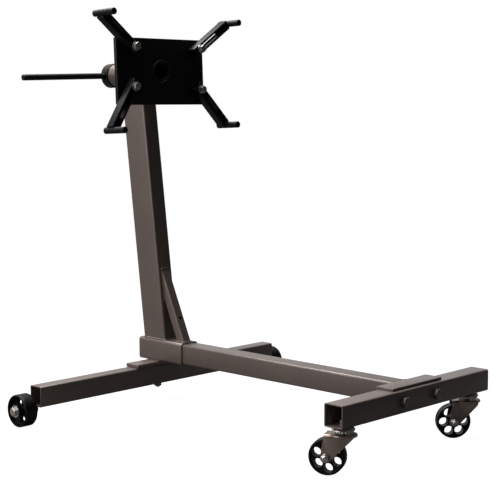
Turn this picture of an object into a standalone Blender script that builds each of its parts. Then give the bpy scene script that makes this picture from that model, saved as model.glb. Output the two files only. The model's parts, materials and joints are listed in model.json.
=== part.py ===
"""Four-wheel workshop engine stand with a leaning post and a rotating head.

Units are metres, +Z is up, +X runs forward from the post to the swivel casters
and +Y is the stand's left.  The origin is on the floor, under the middle of the
stand's overall length.  Right means -Y and left means +Y throughout.
"""
import math

import bmesh
import bpy
from mathutils import Matrix, Vector

# ------------------------------------------------------------------ clearances
TOUCH_GAP = 0.0003        # between two pieces that touch
SLIP_GAP = 0.0004         # round the leg in its socket
RUN_GAP = 0.0005          # round a turning or sliding piece
HOLE_GAP = 0.0004         # round a fastener in its hole

# ---------------------------------------------------------------------- wheels
WHEEL_RADIUS = 0.040
WHEEL_EDGE = 0.004
WHEEL_RIM = 0.0035
WHEEL_HUB_RADIUS = 0.0125
WHEEL_HOLES = 6
WHEEL_HOLE_LAND = 0.0017       # web left between a hole and the hub or the rim
WHEEL_HOLE_INSET = 0.0005      # how far the holes sit inside the middle of the web
BUSH_WALL = 0.0020
AXLE_RADIUS = 0.0060
# width of the tread, thickness of the web and length of the hub
REAR_WHEEL = {"width": 0.035, "web": 0.010, "hub": 0.039}
CASTER_WHEEL = {"width": 0.028, "web": 0.022, "hub": 0.032}
# where each wheel's first hole stands
WHEEL_PHASES = {
    "rear_wheel_right": math.radians(14.0),
    "rear_wheel_left": math.radians(30.0),
    "caster_wheel_right": math.radians(22.0),
    "caster_wheel_left": math.radians(58.0),
}

# ------------------------------------------------------------ rear crossmember
REAR_LENGTH = 0.820
REAR_DEPTH = 0.042
REAR_HEIGHT = 0.051
REAR_WALL = 0.003
REAR_BOTTOM = 0.047
REAR_CORNER = 0.004

MOUNT_PLATE_LENGTH = 0.200
MOUNT_PLATE_DEPTH = 0.048
MOUNT_PLATE_THICKNESS = 0.009
BASE_BOLT_RADIUS = 0.006
BASE_BOLT_X = -0.006
BASE_BOLT_Y = -0.006

REAR_AXLE_X = -0.018
AXLE_BOSS_THICKNESS = 0.010
AXLE_BOSS_RADIUS = 0.0145
AXLE_BOSS_BACK = 0.0115
AXLE_BOSS_HEIGHT = 0.021
AXLE_JAM_NUT = 0.0065
REAR_WASHER_RADIUS = 0.0150
REAR_WASHER_THICKNESS = 0.0025
AXLE_HEAD_AF = 0.019
AXLE_HEAD_HEIGHT = 0.008

# ------------------------------------------------------------ leg and its socket
LEG_SIZE = 0.0508
LEG_WALL = 0.003
LEG_CORNER = 0.0045
SOCKET_WALL = 0.0033
SOCKET_LENGTH = 0.1635
SOCKET_OVERHANG = 0.052
LEG_INSET = 0.004

# ----------------------------------------------------------- front crossmember
FRONT_LENGTH = 0.530
FRONT_SIZE = 0.0508
FRONT_WALL = 0.003
FRONT_CORNER = 0.0045
FRONT_BOTTOM = 0.107
FRONT_FACE_X = 0.854
BRACKET_WIDTH = 0.178
BRACKET_SHIFT = 0.004         # the bracket sits this much towards the left
BRACKET_THICKNESS = 0.006
BRACKET_TOP_DEPTH = 0.047
BRACKET_HEIGHT = 0.052
BRACKET_BOLT_SPACING = 0.116
BRACKET_BOLT_RADIUS = 0.007
BRACKET_BOLT_AF = 0.022
BRACKET_BOLT_HEAD = 0.009
BRACKET_WASHER_RADIUS = 0.0135
BRACKET_WASHER_THICKNESS = 0.002

# ---------------------------------------------------------------- post and brace
POST_DEPTH = 0.082
POST_WIDTH = 0.047
POST_WALL = 0.003
POST_CORNER = 0.0045
POST_LEAN = math.radians(6.97)
POST_BASE_X = 0.003
BRACE_SIZE = 0.0254
BRACE_WALL = 0.002
BRACE_CORNER = 0.003
BRACE_LEAN = math.radians(24.2)
BRACE_FOOT_X = 0.0914
BRACE_HOLE_RADIUS = 0.004
BRACE_HOLE_HEIGHT = 0.060

# ------------------------------------------------------------------------ casters
CASTER_INSET_RIGHT = 0.033
CASTER_INSET_LEFT = 0.047
CASTER_TRAIL = 0.034
CASTER_TURN_RIGHT = math.radians(25.8)
CASTER_TURN_LEFT = math.radians(47.0)
FORK_TOP_HEIGHT = 0.0905
FORK_TOP_THICKNESS = 0.004
FORK_LEG_THICKNESS = 0.003
FORK_SIDE_PLAY = 0.0012
FORK_DISC_RADIUS = 0.0300
FORK_FRONT = 0.024
FORK_REAR = 0.038
FORK_AXLE_ROUND = 0.0120
RACE_RADIUS = 0.0253
RACE_THICKNESS = 0.0085
BALL_RING_RADIUS = 0.0185
BALL_RING_BORE = 0.0095
KING_BOLT_RADIUS = 0.0058
KING_BOLT_AF = 0.018
KING_BOLT_HEAD = 0.006
CASTER_AXLE_AF = 0.015
CASTER_AXLE_HEAD = 0.006

# ----------------------------------------------------------------- rotating head
HEAD_FACE_X = 0.0151
HEAD_HEIGHT = 0.8634
HEAD_TILT = math.radians(2.16)
SLEEVE_RADIUS = 0.0296
SLEEVE_WALL = 0.0040
SLEEVE_LENGTH = 0.1655
COLLAR_RADIUS = 0.0320
COLLAR_LENGTH = 0.027
COLLAR_GAP = 0.0006
HEAD_TUBE_WALL = 0.0045
HEAD_PLATE_WIDTH = 0.2990
HEAD_PLATE_HEIGHT = 0.1695
HEAD_PLATE_THICKNESS = 0.0098
HEAD_PLATE_CORNER = 0.004
HEAD_PLATE_CLEARANCE = 0.0035
HANDLE_RADIUS = 0.0078
HANDLE_RIGHT_REACH = 0.298
HANDLE_LEFT_REACH = 0.052
HANDLE_END_ROUND = 0.003
HANDLE_DROOP = math.radians(1.5)
HANDLE_PLAY = 0.0014
LOCK_HOLES = 4
LOCK_PIN_RADIUS = 0.0050
LOCK_PIN_LENGTH = 0.034
LOCK_PIN_SETBACK = 0.050
LOCK_PIN_PARK = 0.0006
LOCK_BOSS_RADIUS = 0.0095
LOCK_BOSS_HEIGHT = 0.012
LOCK_KNOB_RADIUS = 0.0090
LOCK_KNOB_HEIGHT = 0.008

# --------------------------------------------------------------------------- arms
ARM_SIZE = 0.025
ARM_WALL = 0.002
ARM_CORNER = 0.0025
ARM_REACH = 0.1326
ARM_TAIL = 0.016
ARM_SLOT_LENGTH = 0.090
ARM_BOLT_RADIUS = 0.0060
ARM_BOLT_AF = 0.017
ARM_BOLT_HEAD = 0.008
ARM_WASHER_RADIUS = 0.0114
ARM_WASHER_THICKNESS = 0.0025
TIP_RADIUS = 0.0085
TIP_BORE = 0.0055
TIP_BACK = 0.011
TIP_LENGTH = 0.076
# name: (sideways place of the bolt, height of the bolt, direction of the arm, pushed in along its slot)
ARMS = {
    "upper_right": (-0.1071, 0.0606, math.radians(140.8), 0.0062),
    "upper_left": (0.1208, 0.0600, math.radians(33.1), 0.0052),
    "lower_right": (-0.1121, -0.0394, math.radians(236.6), 0.0016),
    "lower_left": (0.1183, -0.0463, math.radians(314.6), 0.0),
}

# -------------------------------------------------------- facets of round pieces
ROUND = 28
WHEEL_ROUND = 30          # two more than a multiple of four, so a flat meets the floor
SMALL_ROUND = 18
BOLT_ROUND = 12
DRILL_ROUND = 14
CORNER_STEPS = 3
SMOOTH_ANGLE = math.radians(35.0)

# ------------------------------------------------ places that follow from the sizes
REAR_TOP = REAR_BOTTOM + REAR_HEIGHT
PLATE_BOTTOM = REAR_TOP + TOUCH_GAP
PLATE_TOP = PLATE_BOTTOM + MOUNT_PLATE_THICKNESS
SOCKET_SIZE = LEG_SIZE + 2.0 * (SLIP_GAP + SOCKET_WALL)
SOCKET_BOTTOM = PLATE_TOP + TOUCH_GAP
SOCKET_TOP = SOCKET_BOTTOM + SOCKET_SIZE
LEG_BOTTOM = SOCKET_BOTTOM + SOCKET_WALL + SLIP_GAP
LEG_AXIS_Z = LEG_BOTTOM + LEG_SIZE / 2.0
SOCKET_REAR_X = -SOCKET_OVERHANG
FRONT_BACK_X = FRONT_FACE_X - FRONT_SIZE
WHEEL_WEB_INNER = WHEEL_HUB_RADIUS
WHEEL_WEB_OUTER = WHEEL_RADIUS - WHEEL_RIM
WHEEL_HOLE_CIRCLE = (WHEEL_WEB_INNER + WHEEL_WEB_OUTER) / 2.0 - WHEEL_HOLE_INSET
WHEEL_HOLE_RADIUS = (WHEEL_WEB_OUTER - WHEEL_WEB_INNER) / 2.0 - WHEEL_HOLE_LAND
FRONT_TOP = FRONT_BOTTOM + FRONT_SIZE
FRONT_AXIS_X = FRONT_BACK_X + FRONT_SIZE / 2.0
FRONT_AXIS_Z = FRONT_BOTTOM + FRONT_SIZE / 2.0
BRACKET_TOP = FRONT_TOP + TOUCH_GAP + BRACKET_THICKNESS
BRACKET_BACK_X = FRONT_BACK_X - TOUCH_GAP - BRACKET_THICKNESS
LEG_END_X = BRACKET_BACK_X - TOUCH_GAP
CASTER_Y = {
    "right": -(FRONT_LENGTH / 2.0 - CASTER_INSET_RIGHT),
    "left": FRONT_LENGTH / 2.0 - CASTER_INSET_LEFT,
}
HEAD_TUBE_RADIUS = SLEEVE_RADIUS - SLEEVE_WALL - RUN_GAP
SLEEVE_FRONT = HEAD_PLATE_THICKNESS + HEAD_PLATE_CLEARANCE
SLEEVE_REAR = SLEEVE_FRONT + SLEEVE_LENGTH
COLLAR_FRONT = SLEEVE_REAR + COLLAR_GAP
COLLAR_REAR = COLLAR_FRONT + COLLAR_LENGTH
HANDLE_SETBACK = (COLLAR_FRONT + COLLAR_REAR) / 2.0
BUSH_RADIUS = AXLE_RADIUS + RUN_GAP + BUSH_WALL
REAR_WHEEL_Y = REAR_LENGTH / 2.0 + AXLE_JAM_NUT + 2.0 * TOUCH_GAP + RUN_GAP + REAR_WHEEL["hub"] / 2.0
BRACKET_BOLT_FRONT = FRONT_FACE_X + TOUCH_GAP + BRACKET_WASHER_THICKNESS + BRACKET_BOLT_HEAD
OVERALL_REAR_X = HEAD_FACE_X - COLLAR_REAR * math.cos(HEAD_TILT) - COLLAR_RADIUS * math.sin(HEAD_TILT)
MIDDLE_X = (OVERALL_REAR_X + BRACKET_BOLT_FRONT) / 2.0


# ----------------------------------------------------------------------- materials
def finish(name, color, roughness, metallic):
    """Make a Principled material of one colour."""
    material = bpy.data.materials.new(name)
    material.use_nodes = True
    shader = material.node_tree.nodes["Principled BSDF"]
    shader.inputs["Base Color"].default_value = (*color, 1.0)
    shader.inputs["Roughness"].default_value = roughness
    shader.inputs["Metallic"].default_value = metallic
    material.diffuse_color = (*color, 1.0)
    return material


def frame_paint():
    return finish("frame_paint", (0.135, 0.108, 0.096), 0.42, 0.35)


def head_paint():
    return finish("head_paint", (0.012, 0.011, 0.011), 0.45, 0.10)


def wheel_plastic():
    return finish("wheel_plastic", (0.010, 0.010, 0.010), 0.50, 0.0)


def zinc():
    return finish("zinc", (0.62, 0.58, 0.55), 0.30, 1.0)


def fork_steel():
    return finish("fork_steel", (0.30, 0.24, 0.21), 0.36, 0.85)


def bearing_steel():
    return finish("bearing_steel", (0.70, 0.68, 0.66), 0.18, 1.0)


# --------------------------------------------------------------- building blocks
def clear_scene():
    """Remove every object that the start-up file holds."""
    for item in list(bpy.data.objects):
        bpy.data.objects.remove(item, do_unlink=True)


def empty(name, parent=None, location=(0.0, 0.0, 0.0), rotation=(0.0, 0.0, 0.0)):
    """Add an empty that carries a joint or a group."""
    item = bpy.data.objects.new(name, None)
    item.empty_display_size = 0.03
    item.location = location
    item.rotation_euler = rotation
    item.parent = parent
    bpy.context.scene.collection.objects.link(item)
    return item


def solid(name, mesh, material=None, parent=None, location=(0.0, 0.0, 0.0), rotation=(0.0, 0.0, 0.0)):
    """Put a mesh into the scene as one named piece."""
    item = bpy.data.objects.new(name, mesh)
    item.location = location
    item.rotation_euler = rotation
    item.parent = parent
    if material is not None:
        mesh.materials.append(material)
    bpy.context.scene.collection.objects.link(item)
    return item


def finished_mesh(name, shape):
    """Turn a bmesh into a mesh with outward faces and smooth round sides."""
    bmesh.ops.recalc_face_normals(shape, faces=shape.faces)
    mesh = bpy.data.meshes.new(name)
    shape.to_mesh(mesh)
    shape.free()
    mesh.shade_smooth()
    mesh.set_sharp_from_angle(angle=SMOOTH_ANGLE)
    return mesh


def cut(target, *cutters):
    """Subtract hidden cutters from a piece."""
    for cutter in cutters:
        cutter.hide_render = True
        cutter.display_type = "WIRE"
        modifier = target.modifiers.new(f"cut_{cutter.name}", "BOOLEAN")
        modifier.operation = "DIFFERENCE"
        modifier.solver = "EXACT"
        modifier.object = cutter


def fuse(target, *others):
    """Join hidden shapes to a piece."""
    for other in others:
        other.hide_render = True
        other.display_type = "WIRE"
        modifier = target.modifiers.new(f"join_{other.name}", "BOOLEAN")
        modifier.operation = "UNION"
        modifier.solver = "EXACT"
        modifier.object = other


def rounded_rectangle(width, height, corner, steps=CORNER_STEPS):
    """Points of a rectangle with rounded corners, counter-clockwise."""
    points = []
    for quarter, (side_x, side_y) in enumerate(((1, 1), (-1, 1), (-1, -1), (1, -1))):
        middle_x = side_x * (width / 2.0 - corner)
        middle_y = side_y * (height / 2.0 - corner)
        for step in range(steps + 1):
            angle = math.pi / 2.0 * (quarter + step / steps)
            points.append((middle_x + corner * math.cos(angle), middle_y + corner * math.sin(angle)))
    return points


def tube_between(name, width, height, wall, corner, origin, axis, across, start, end):
    """Rectangular tube along an axis, cut off at two planes.

    width lies along across, and each plane is a point and a normal.
    """
    axis = Vector(axis).normalized()
    across = Vector(across).normalized()
    upward = axis.cross(across)
    origin = Vector(origin)
    shape = bmesh.new()
    loops = []
    for shrink in (0.0, wall):
        outline = rounded_rectangle(width - 2 * shrink, height - 2 * shrink, max(corner - shrink, 0.0008))
        for plane_point, plane_normal in (start, end):
            plane_point = Vector(plane_point)
            plane_normal = Vector(plane_normal)
            loop = []
            for a, b in outline:
                base = origin + a * across + b * upward
                along = (plane_point - base).dot(plane_normal) / axis.dot(plane_normal)
                loop.append(shape.verts.new(base + along * axis))
            loops.append(loop)
    outer_start, outer_end, inner_start, inner_end = loops
    count = len(outer_start)
    for i in range(count):
        j = (i + 1) % count
        shape.faces.new((outer_start[i], outer_start[j], outer_end[j], outer_end[i]))
        shape.faces.new((inner_start[j], inner_start[i], inner_end[i], inner_end[j]))
        shape.faces.new((outer_start[j], outer_start[i], inner_start[i], inner_start[j]))
        shape.faces.new((outer_end[i], outer_end[j], inner_end[j], inner_end[i]))
    return finished_mesh(name, shape)


def ring_loop(shape, height, radius, kind, count):
    """One loop of a turned or hexagonal section at a height."""
    loop = []
    for i in range(count):
        angle = 2.0 * math.pi * i / count
        reach = radius
        if kind == "hex":
            within = (angle + math.pi / 6.0) % (math.pi / 3.0) - math.pi / 6.0
            reach = radius / math.cos(within)
        loop.append(shape.verts.new((reach * math.cos(angle), reach * math.sin(angle), height)))
    return loop


def stack(name, sections, count=BOLT_ROUND):
    """Solid made of round and hexagonal sections up the Z axis.

    Each section is (height, radius or half the width across flats, "round" or "hex").
    """
    shape = bmesh.new()
    loops = [ring_loop(shape, height, radius, kind, count) for height, radius, kind in sections]
    for lower, upper in zip(loops, loops[1:]):
        for i in range(count):
            j = (i + 1) % count
            shape.faces.new((lower[i], lower[j], upper[j], upper[i]))
    shape.faces.new(list(reversed(loops[0])))
    shape.faces.new(loops[-1])
    return finished_mesh(name, shape)


def turned(name, profile, count=ROUND):
    """Ring turned about Z from a closed profile of (radius, height) points."""
    shape = bmesh.new()
    loops = [ring_loop(shape, height, radius, "round", count) for radius, height in profile]
    for lower, upper in zip(loops, loops[1:] + loops[:1]):
        for i in range(count):
            j = (i + 1) % count
            shape.faces.new((lower[i], lower[j], upper[j], upper[i]))
    return finished_mesh(name, shape)


def pipe(name, outer, inner, low, high, count=ROUND):
    """Plain round tube along Z."""
    return turned(name, [(outer, low), (outer, high), (inner, high), (inner, low)], count)


def rod(name, radius, low, high, count=DRILL_ROUND):
    """Plain round bar along Z."""
    return stack(name, [(low, radius, "round"), (high, radius, "round")], count)


def rods_mesh(name, places, radius, low, high, count):
    """Several parallel round bars along Z in one mesh."""
    shape = bmesh.new()
    for x, y in places:
        bar = bmesh.ops.create_cone(
            shape, cap_ends=True, segments=count, radius1=radius, radius2=radius, depth=high - low)
        bmesh.ops.translate(shape, verts=bar["verts"], vec=(x, y, (low + high) / 2.0))
    return finished_mesh(name, shape)


def extruded(name, outline, low, high):
    """Flat plate: an XY outline extruded along Z."""
    shape = bmesh.new()
    bottom = [shape.verts.new((x, y, low)) for x, y in outline]
    top = [shape.verts.new((x, y, high)) for x, y in outline]
    count = len(outline)
    for i in range(count):
        j = (i + 1) % count
        shape.faces.new((bottom[i], bottom[j], top[j], top[i]))
    shape.faces.new(list(reversed(bottom)))
    shape.faces.new(top)
    return finished_mesh(name, shape)


def arc(center_x, center_y, radius, start, end, steps):
    """Points along an arc, both ends included."""
    points = []
    for step in range(steps + 1):
        angle = start + (end - start) * step / steps
        points.append((center_x + radius * math.cos(angle), center_y + radius * math.sin(angle)))
    return points


ALONG_X = (0.0, math.pi / 2.0, 0.0)       # turns a piece's Z axis to +X
ALONG_Y = (-math.pi / 2.0, 0.0, 0.0)      # turns a piece's Z axis to +Y
ALONG_MINUS_Y = (math.pi / 2.0, 0.0, 0.0)
SIDES = (("right", -1.0), ("left", 1.0))


# ------------------------------------------------------------------- rear of base
def build_rear_crossmember(frame, paint):
    """Low rear tube that carries the fixed wheels."""
    middle = REAR_BOTTOM + REAR_HEIGHT / 2.0
    half = REAR_LENGTH / 2.0
    mesh = tube_between(
        "rear_crossmember", REAR_DEPTH, REAR_HEIGHT, REAR_WALL, REAR_CORNER, (0, 0, middle), (0, 1, 0),
        (-1, 0, 0), ((0, -half, 0), (0, 1, 0)), ((0, half, 0), (0, 1, 0)))
    tube = solid("rear_crossmember", mesh, paint, frame)
    drill = rod("base_bolt_drill_rear", BASE_BOLT_RADIUS + HOLE_GAP, REAR_BOTTOM - 0.01, REAR_TOP + 0.01)
    cut(tube, solid("base_bolt_drill_rear", drill, None, frame, (BASE_BOLT_X, BASE_BOLT_Y, 0)))


def build_mount_plate(frame, paint):
    """Flat plate between the rear crossmember and the socket."""
    outline = rounded_rectangle(MOUNT_PLATE_DEPTH, MOUNT_PLATE_LENGTH, 0.003)
    plate = solid("mount_plate", extruded("mount_plate", outline, PLATE_BOTTOM, PLATE_TOP), paint, frame)
    drill = rod("base_bolt_drill_plate", BASE_BOLT_RADIUS + HOLE_GAP, PLATE_BOTTOM - 0.01, PLATE_TOP + 0.01)
    cut(plate, solid("base_bolt_drill_plate", drill, None, frame, (BASE_BOLT_X, BASE_BOLT_Y, 0)))


def build_base_bolt(frame, plating):
    """Bolt from inside the leg down through the rear crossmember, with its nut."""
    seat = LEG_BOTTOM + LEG_WALL + TOUCH_GAP
    below = REAR_BOTTOM - TOUCH_GAP
    flats = BASE_BOLT_RADIUS * 1.5
    washer = BASE_BOLT_RADIUS * 1.8
    sections = [
        (below - 0.014, BASE_BOLT_RADIUS - 0.001, "round"), (below - 0.013, BASE_BOLT_RADIUS, "round"),
        (below - 0.011, BASE_BOLT_RADIUS, "round"), (below - 0.011, flats, "hex"),
        (below - 0.003, flats, "hex"), (below - 0.003, washer, "round"), (below, washer, "round"),
        (below, BASE_BOLT_RADIUS, "round"), (seat, BASE_BOLT_RADIUS, "round"), (seat, flats, "hex"),
        (seat + 0.009, flats, "hex"), (seat + 0.010, flats - 0.002, "round")]
    solid("base_bolt", stack("base_bolt", sections), plating, frame, (BASE_BOLT_X, BASE_BOLT_Y, 0))


def axle_boss_outline():
    """Outline of the rear axle's tapped boss, notched round the tube's lower corner."""
    back = -REAR_DEPTH / 2.0 - TOUCH_GAP
    under = REAR_BOTTOM - TOUCH_GAP
    outline = [(back, under), (back, REAR_BOTTOM + AXLE_BOSS_HEIGHT)]
    outline.append((back - AXLE_BOSS_BACK, REAR_BOTTOM + AXLE_BOSS_HEIGHT))
    outline += arc(REAR_AXLE_X, WHEEL_RADIUS, AXLE_BOSS_RADIUS, math.radians(188), math.radians(372), 8)
    outline.append((REAR_AXLE_X + AXLE_BOSS_RADIUS, under))
    return outline


def build_axle_boss(side, sign, frame, paint):
    """Tapped boss welded to the rear tube's end for the axle bolt."""
    outer = REAR_LENGTH / 2.0
    mesh = extruded(f"axle_boss_{side}", axle_boss_outline(), -AXLE_BOSS_THICKNESS / 2, AXLE_BOSS_THICKNESS / 2)
    mesh.transform(Matrix.Rotation(math.pi / 2.0, 4, "X"))
    place = sign * (outer - AXLE_BOSS_THICKNESS / 2.0)
    boss = solid(f"axle_boss_{side}", mesh, paint, frame, (0, place, 0))
    drill = rod(f"axle_drill_{side}", AXLE_RADIUS + HOLE_GAP, -0.02, 0.02)
    cut(boss, solid(f"axle_drill_{side}", drill, None, frame, (REAR_AXLE_X, place, WHEEL_RADIUS), ALONG_Y))


def build_rear_axle(side, sign, frame, plating):
    """Axle bolt with its outer washer and the jam nut against the boss."""
    boss_inner = REAR_LENGTH / 2.0 - AXLE_BOSS_THICKNESS
    nut_inner = REAR_LENGTH / 2.0 + TOUCH_GAP
    nut_outer = nut_inner + AXLE_JAM_NUT
    washer_inner = REAR_WHEEL_Y + REAR_WHEEL["hub"] / 2.0 + RUN_GAP
    washer_outer = washer_inner + REAR_WASHER_THICKNESS
    flats = AXLE_HEAD_AF / 2.0
    sections = [
        (boss_inner + 0.0005, AXLE_RADIUS - 0.001, "round"), (boss_inner + 0.0015, AXLE_RADIUS, "round"),
        (nut_inner, AXLE_RADIUS, "round"), (nut_inner, flats - 0.001, "hex"), (nut_outer, flats - 0.001, "hex"),
        (nut_outer, AXLE_RADIUS, "round"), (washer_inner, AXLE_RADIUS, "round"),
        (washer_inner, REAR_WASHER_RADIUS, "round"), (washer_outer, REAR_WASHER_RADIUS, "round"),
        (washer_outer, flats, "hex"), (washer_outer + AXLE_HEAD_HEIGHT - 0.001, flats, "hex"),
        (washer_outer + AXLE_HEAD_HEIGHT, flats - 0.001, "round")]
    turn = ALONG_Y if sign > 0 else ALONG_MINUS_Y
    mesh = stack(f"rear_axle_{side}", sections)
    solid(f"rear_axle_{side}", mesh, plating, frame, (REAR_AXLE_X, 0, WHEEL_RADIUS), turn)


# -------------------------------------------------------------------------- wheels
def wheel_mesh(name, sizes):
    """Moulded wheel blank: tread, recessed web and hub, turned about Z."""
    half = sizes["width"] / 2.0
    web = sizes["web"] / 2.0
    hub = sizes["hub"] / 2.0
    rim = WHEEL_RADIUS - WHEEL_RIM
    bore = BUSH_RADIUS + TOUCH_GAP
    tread = WHEEL_RADIUS / math.cos(math.pi / WHEEL_ROUND)
    upper = [(bore, hub), (WHEEL_HUB_RADIUS, hub), (WHEEL_HUB_RADIUS, web), (rim, web), (rim, half)]
    upper += arc(tread - WHEEL_EDGE, half - WHEEL_EDGE, WHEEL_EDGE, math.pi / 2.0, 0.0, 2)
    lower = [(radius, -height) for radius, height in reversed(upper)]
    return turned(name, upper + lower, WHEEL_ROUND)


def build_wheel(name, sizes, pivot, rubber):
    """Wheel with a circle of lightening holes, on its pivot's Z axis."""
    wheel = solid(name, wheel_mesh(name, sizes), rubber, pivot)
    places = []
    for i in range(WHEEL_HOLES):
        angle = WHEEL_PHASES[name] + 2.0 * math.pi * i / WHEEL_HOLES
        places.append((WHEEL_HOLE_CIRCLE * math.cos(angle), WHEEL_HOLE_CIRCLE * math.sin(angle)))
    drills = rods_mesh(f"{name}_drills", places, WHEEL_HOLE_RADIUS, -WHEEL_RADIUS, WHEEL_RADIUS, BOLT_ROUND)
    cut(wheel, solid(f"{name}_drills", drills, None, pivot))


def build_bush(name, sizes, pivot, steel):
    """Steel sleeve pressed in a wheel's hub."""
    half = sizes["hub"] / 2.0
    solid(name, pipe(name, BUSH_RADIUS, AXLE_RADIUS + RUN_GAP, -half, half, SMALL_ROUND), steel, pivot)


# ------------------------------------------------------------------ leg and socket
def build_socket(frame, paint):
    """Short outer tube that the leg slips into."""
    middle = SOCKET_BOTTOM + SOCKET_SIZE / 2.0
    front = SOCKET_REAR_X + SOCKET_LENGTH
    mesh = tube_between(
        "leg_socket", SOCKET_SIZE, SOCKET_SIZE, SOCKET_WALL, LEG_CORNER + SOCKET_WALL, (0, 0, middle), (1, 0, 0),
        (0, 1, 0), ((SOCKET_REAR_X, 0, 0), (1, 0, 0)), ((front, 0, 0), (1, 0, 0)))
    socket = solid("leg_socket", mesh, paint, frame)
    low = SOCKET_BOTTOM - 0.01
    high = SOCKET_BOTTOM + SOCKET_WALL + 0.01
    drill = rod("base_bolt_drill_socket", BASE_BOLT_RADIUS + HOLE_GAP, low, high)
    cut(socket, solid("base_bolt_drill_socket", drill, None, frame, (BASE_BOLT_X, BASE_BOLT_Y, 0)))


def build_leg(frame, paint):
    """Long leg from inside the socket to the front bracket."""
    mesh = tube_between(
        "main_leg", LEG_SIZE, LEG_SIZE, LEG_WALL, LEG_CORNER, (0, 0, LEG_AXIS_Z), (1, 0, 0), (0, 1, 0),
        ((SOCKET_REAR_X + LEG_INSET, 0, 0), (1, 0, 0)), ((LEG_END_X, 0, 0), (1, 0, 0)))
    leg = solid("main_leg", mesh, paint, frame)
    drill = rod("base_bolt_drill_leg", BASE_BOLT_RADIUS + HOLE_GAP, LEG_BOTTOM - 0.01, LEG_BOTTOM + 0.01)
    cut(leg, solid("base_bolt_drill_leg", drill, None, frame, (BASE_BOLT_X, BASE_BOLT_Y, 0)))


# ------------------------------------------------------------------- front of base
def build_front_crossmember(frame, paint):
    """Front tube that carries the swivel casters."""
    half = FRONT_LENGTH / 2.0
    mesh = tube_between(
        "front_crossmember", FRONT_SIZE, FRONT_SIZE, FRONT_WALL, FRONT_CORNER, (FRONT_AXIS_X, 0, FRONT_AXIS_Z),
        (0, 1, 0), (-1, 0, 0), ((0, -half, 0), (0, 1, 0)), ((0, half, 0), (0, 1, 0)))
    tube = solid("front_crossmember", mesh, paint, frame)
    for side, sign in SIDES:
        drill = rod(f"bracket_drill_tube_{side}", BRACKET_BOLT_RADIUS + HOLE_GAP, -FRONT_SIZE, FRONT_SIZE)
        place = (FRONT_AXIS_X, sign * BRACKET_BOLT_SPACING / 2.0, FRONT_AXIS_Z)
        cut(tube, solid(f"bracket_drill_tube_{side}", drill, None, frame, place, ALONG_X))
        king = rod(f"king_drill_tube_{side}", KING_BOLT_RADIUS + HOLE_GAP, -0.01, FRONT_WALL + 0.01)
        place = (FRONT_AXIS_X, CASTER_Y[side], FRONT_BOTTOM)
        cut(tube, solid(f"king_drill_tube_{side}", king, None, frame, place))


def build_bracket(frame, paint):
    """Angle welded to the leg's end that laps over the front crossmember."""
    deep = BRACKET_TOP - BRACKET_HEIGHT
    under = BRACKET_TOP - BRACKET_THICKNESS
    root = BRACKET_BACK_X + BRACKET_THICKNESS
    front = BRACKET_BACK_X + BRACKET_TOP_DEPTH
    outline = [(BRACKET_BACK_X, deep), (root, deep), (root, under), (front, under), (front, BRACKET_TOP - 0.001),
               (front - 0.001, BRACKET_TOP), (BRACKET_BACK_X + 0.002, BRACKET_TOP),
               (BRACKET_BACK_X, BRACKET_TOP - 0.002)]
    half = BRACKET_WIDTH / 2.0
    mesh = extruded("front_bracket", outline, -half - BRACKET_SHIFT, half - BRACKET_SHIFT)
    mesh.transform(Matrix.Rotation(math.pi / 2.0, 4, "X"))
    bracket = solid("front_bracket", mesh, paint, frame)
    for side, sign in SIDES:
        drill = rod(f"bracket_drill_{side}", BRACKET_BOLT_RADIUS + HOLE_GAP, -0.01, BRACKET_THICKNESS + 0.003)
        place = (BRACKET_BACK_X, sign * BRACKET_BOLT_SPACING / 2.0, FRONT_AXIS_Z)
        cut(bracket, solid(f"bracket_drill_{side}", drill, None, frame, place, ALONG_X))


def build_bracket_bolt(side, sign, frame, plating):
    """Bolt through the front crossmember and the bracket, with washers and nut."""
    back = BRACKET_BACK_X - TOUCH_GAP
    front = FRONT_FACE_X + TOUCH_GAP
    flats = BRACKET_BOLT_AF / 2.0
    nut_back = back - BRACKET_WASHER_THICKNESS - 0.010
    sections = [
        (nut_back - 0.004, BRACKET_BOLT_RADIUS - 0.001, "round"), (nut_back - 0.003, BRACKET_BOLT_RADIUS, "round"),
        (nut_back, BRACKET_BOLT_RADIUS, "round"), (nut_back, flats, "hex"),
        (back - BRACKET_WASHER_THICKNESS, flats, "hex"),
        (back - BRACKET_WASHER_THICKNESS, BRACKET_WASHER_RADIUS, "round"), (back, BRACKET_WASHER_RADIUS, "round"),
        (back, BRACKET_BOLT_RADIUS, "round"), (front, BRACKET_BOLT_RADIUS, "round"),
        (front, BRACKET_WASHER_RADIUS, "round"), (front + BRACKET_WASHER_THICKNESS, BRACKET_WASHER_RADIUS, "round"),
        (front + BRACKET_WASHER_THICKNESS, flats, "hex"), (BRACKET_BOLT_FRONT - 0.0012, flats, "hex"),
        (BRACKET_BOLT_FRONT, flats - 0.0012, "round")]
    place = (0, sign * BRACKET_BOLT_SPACING / 2.0, FRONT_AXIS_Z)
    solid(f"bracket_bolt_{side}", stack(f"bracket_bolt_{side}", sections), plating, frame, place, ALONG_X)


# -------------------------------------------------------------------------- casters
def fork_outline():
    """Side view of the fork: wide at the top, narrow round the axle."""
    top = FORK_TOP_HEIGHT
    outline = [(FORK_FRONT, top), (-FORK_REAR, top), (-FORK_REAR - 0.001, top - 0.012)]
    outline += arc(-CASTER_TRAIL, WHEEL_RADIUS, FORK_AXLE_ROUND, math.radians(180), math.radians(316), 6)
    outline += [(FORK_FRONT - 0.003, top - 0.010), (FORK_FRONT, top - FORK_TOP_THICKNESS - 0.001)]
    return outline


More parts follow.
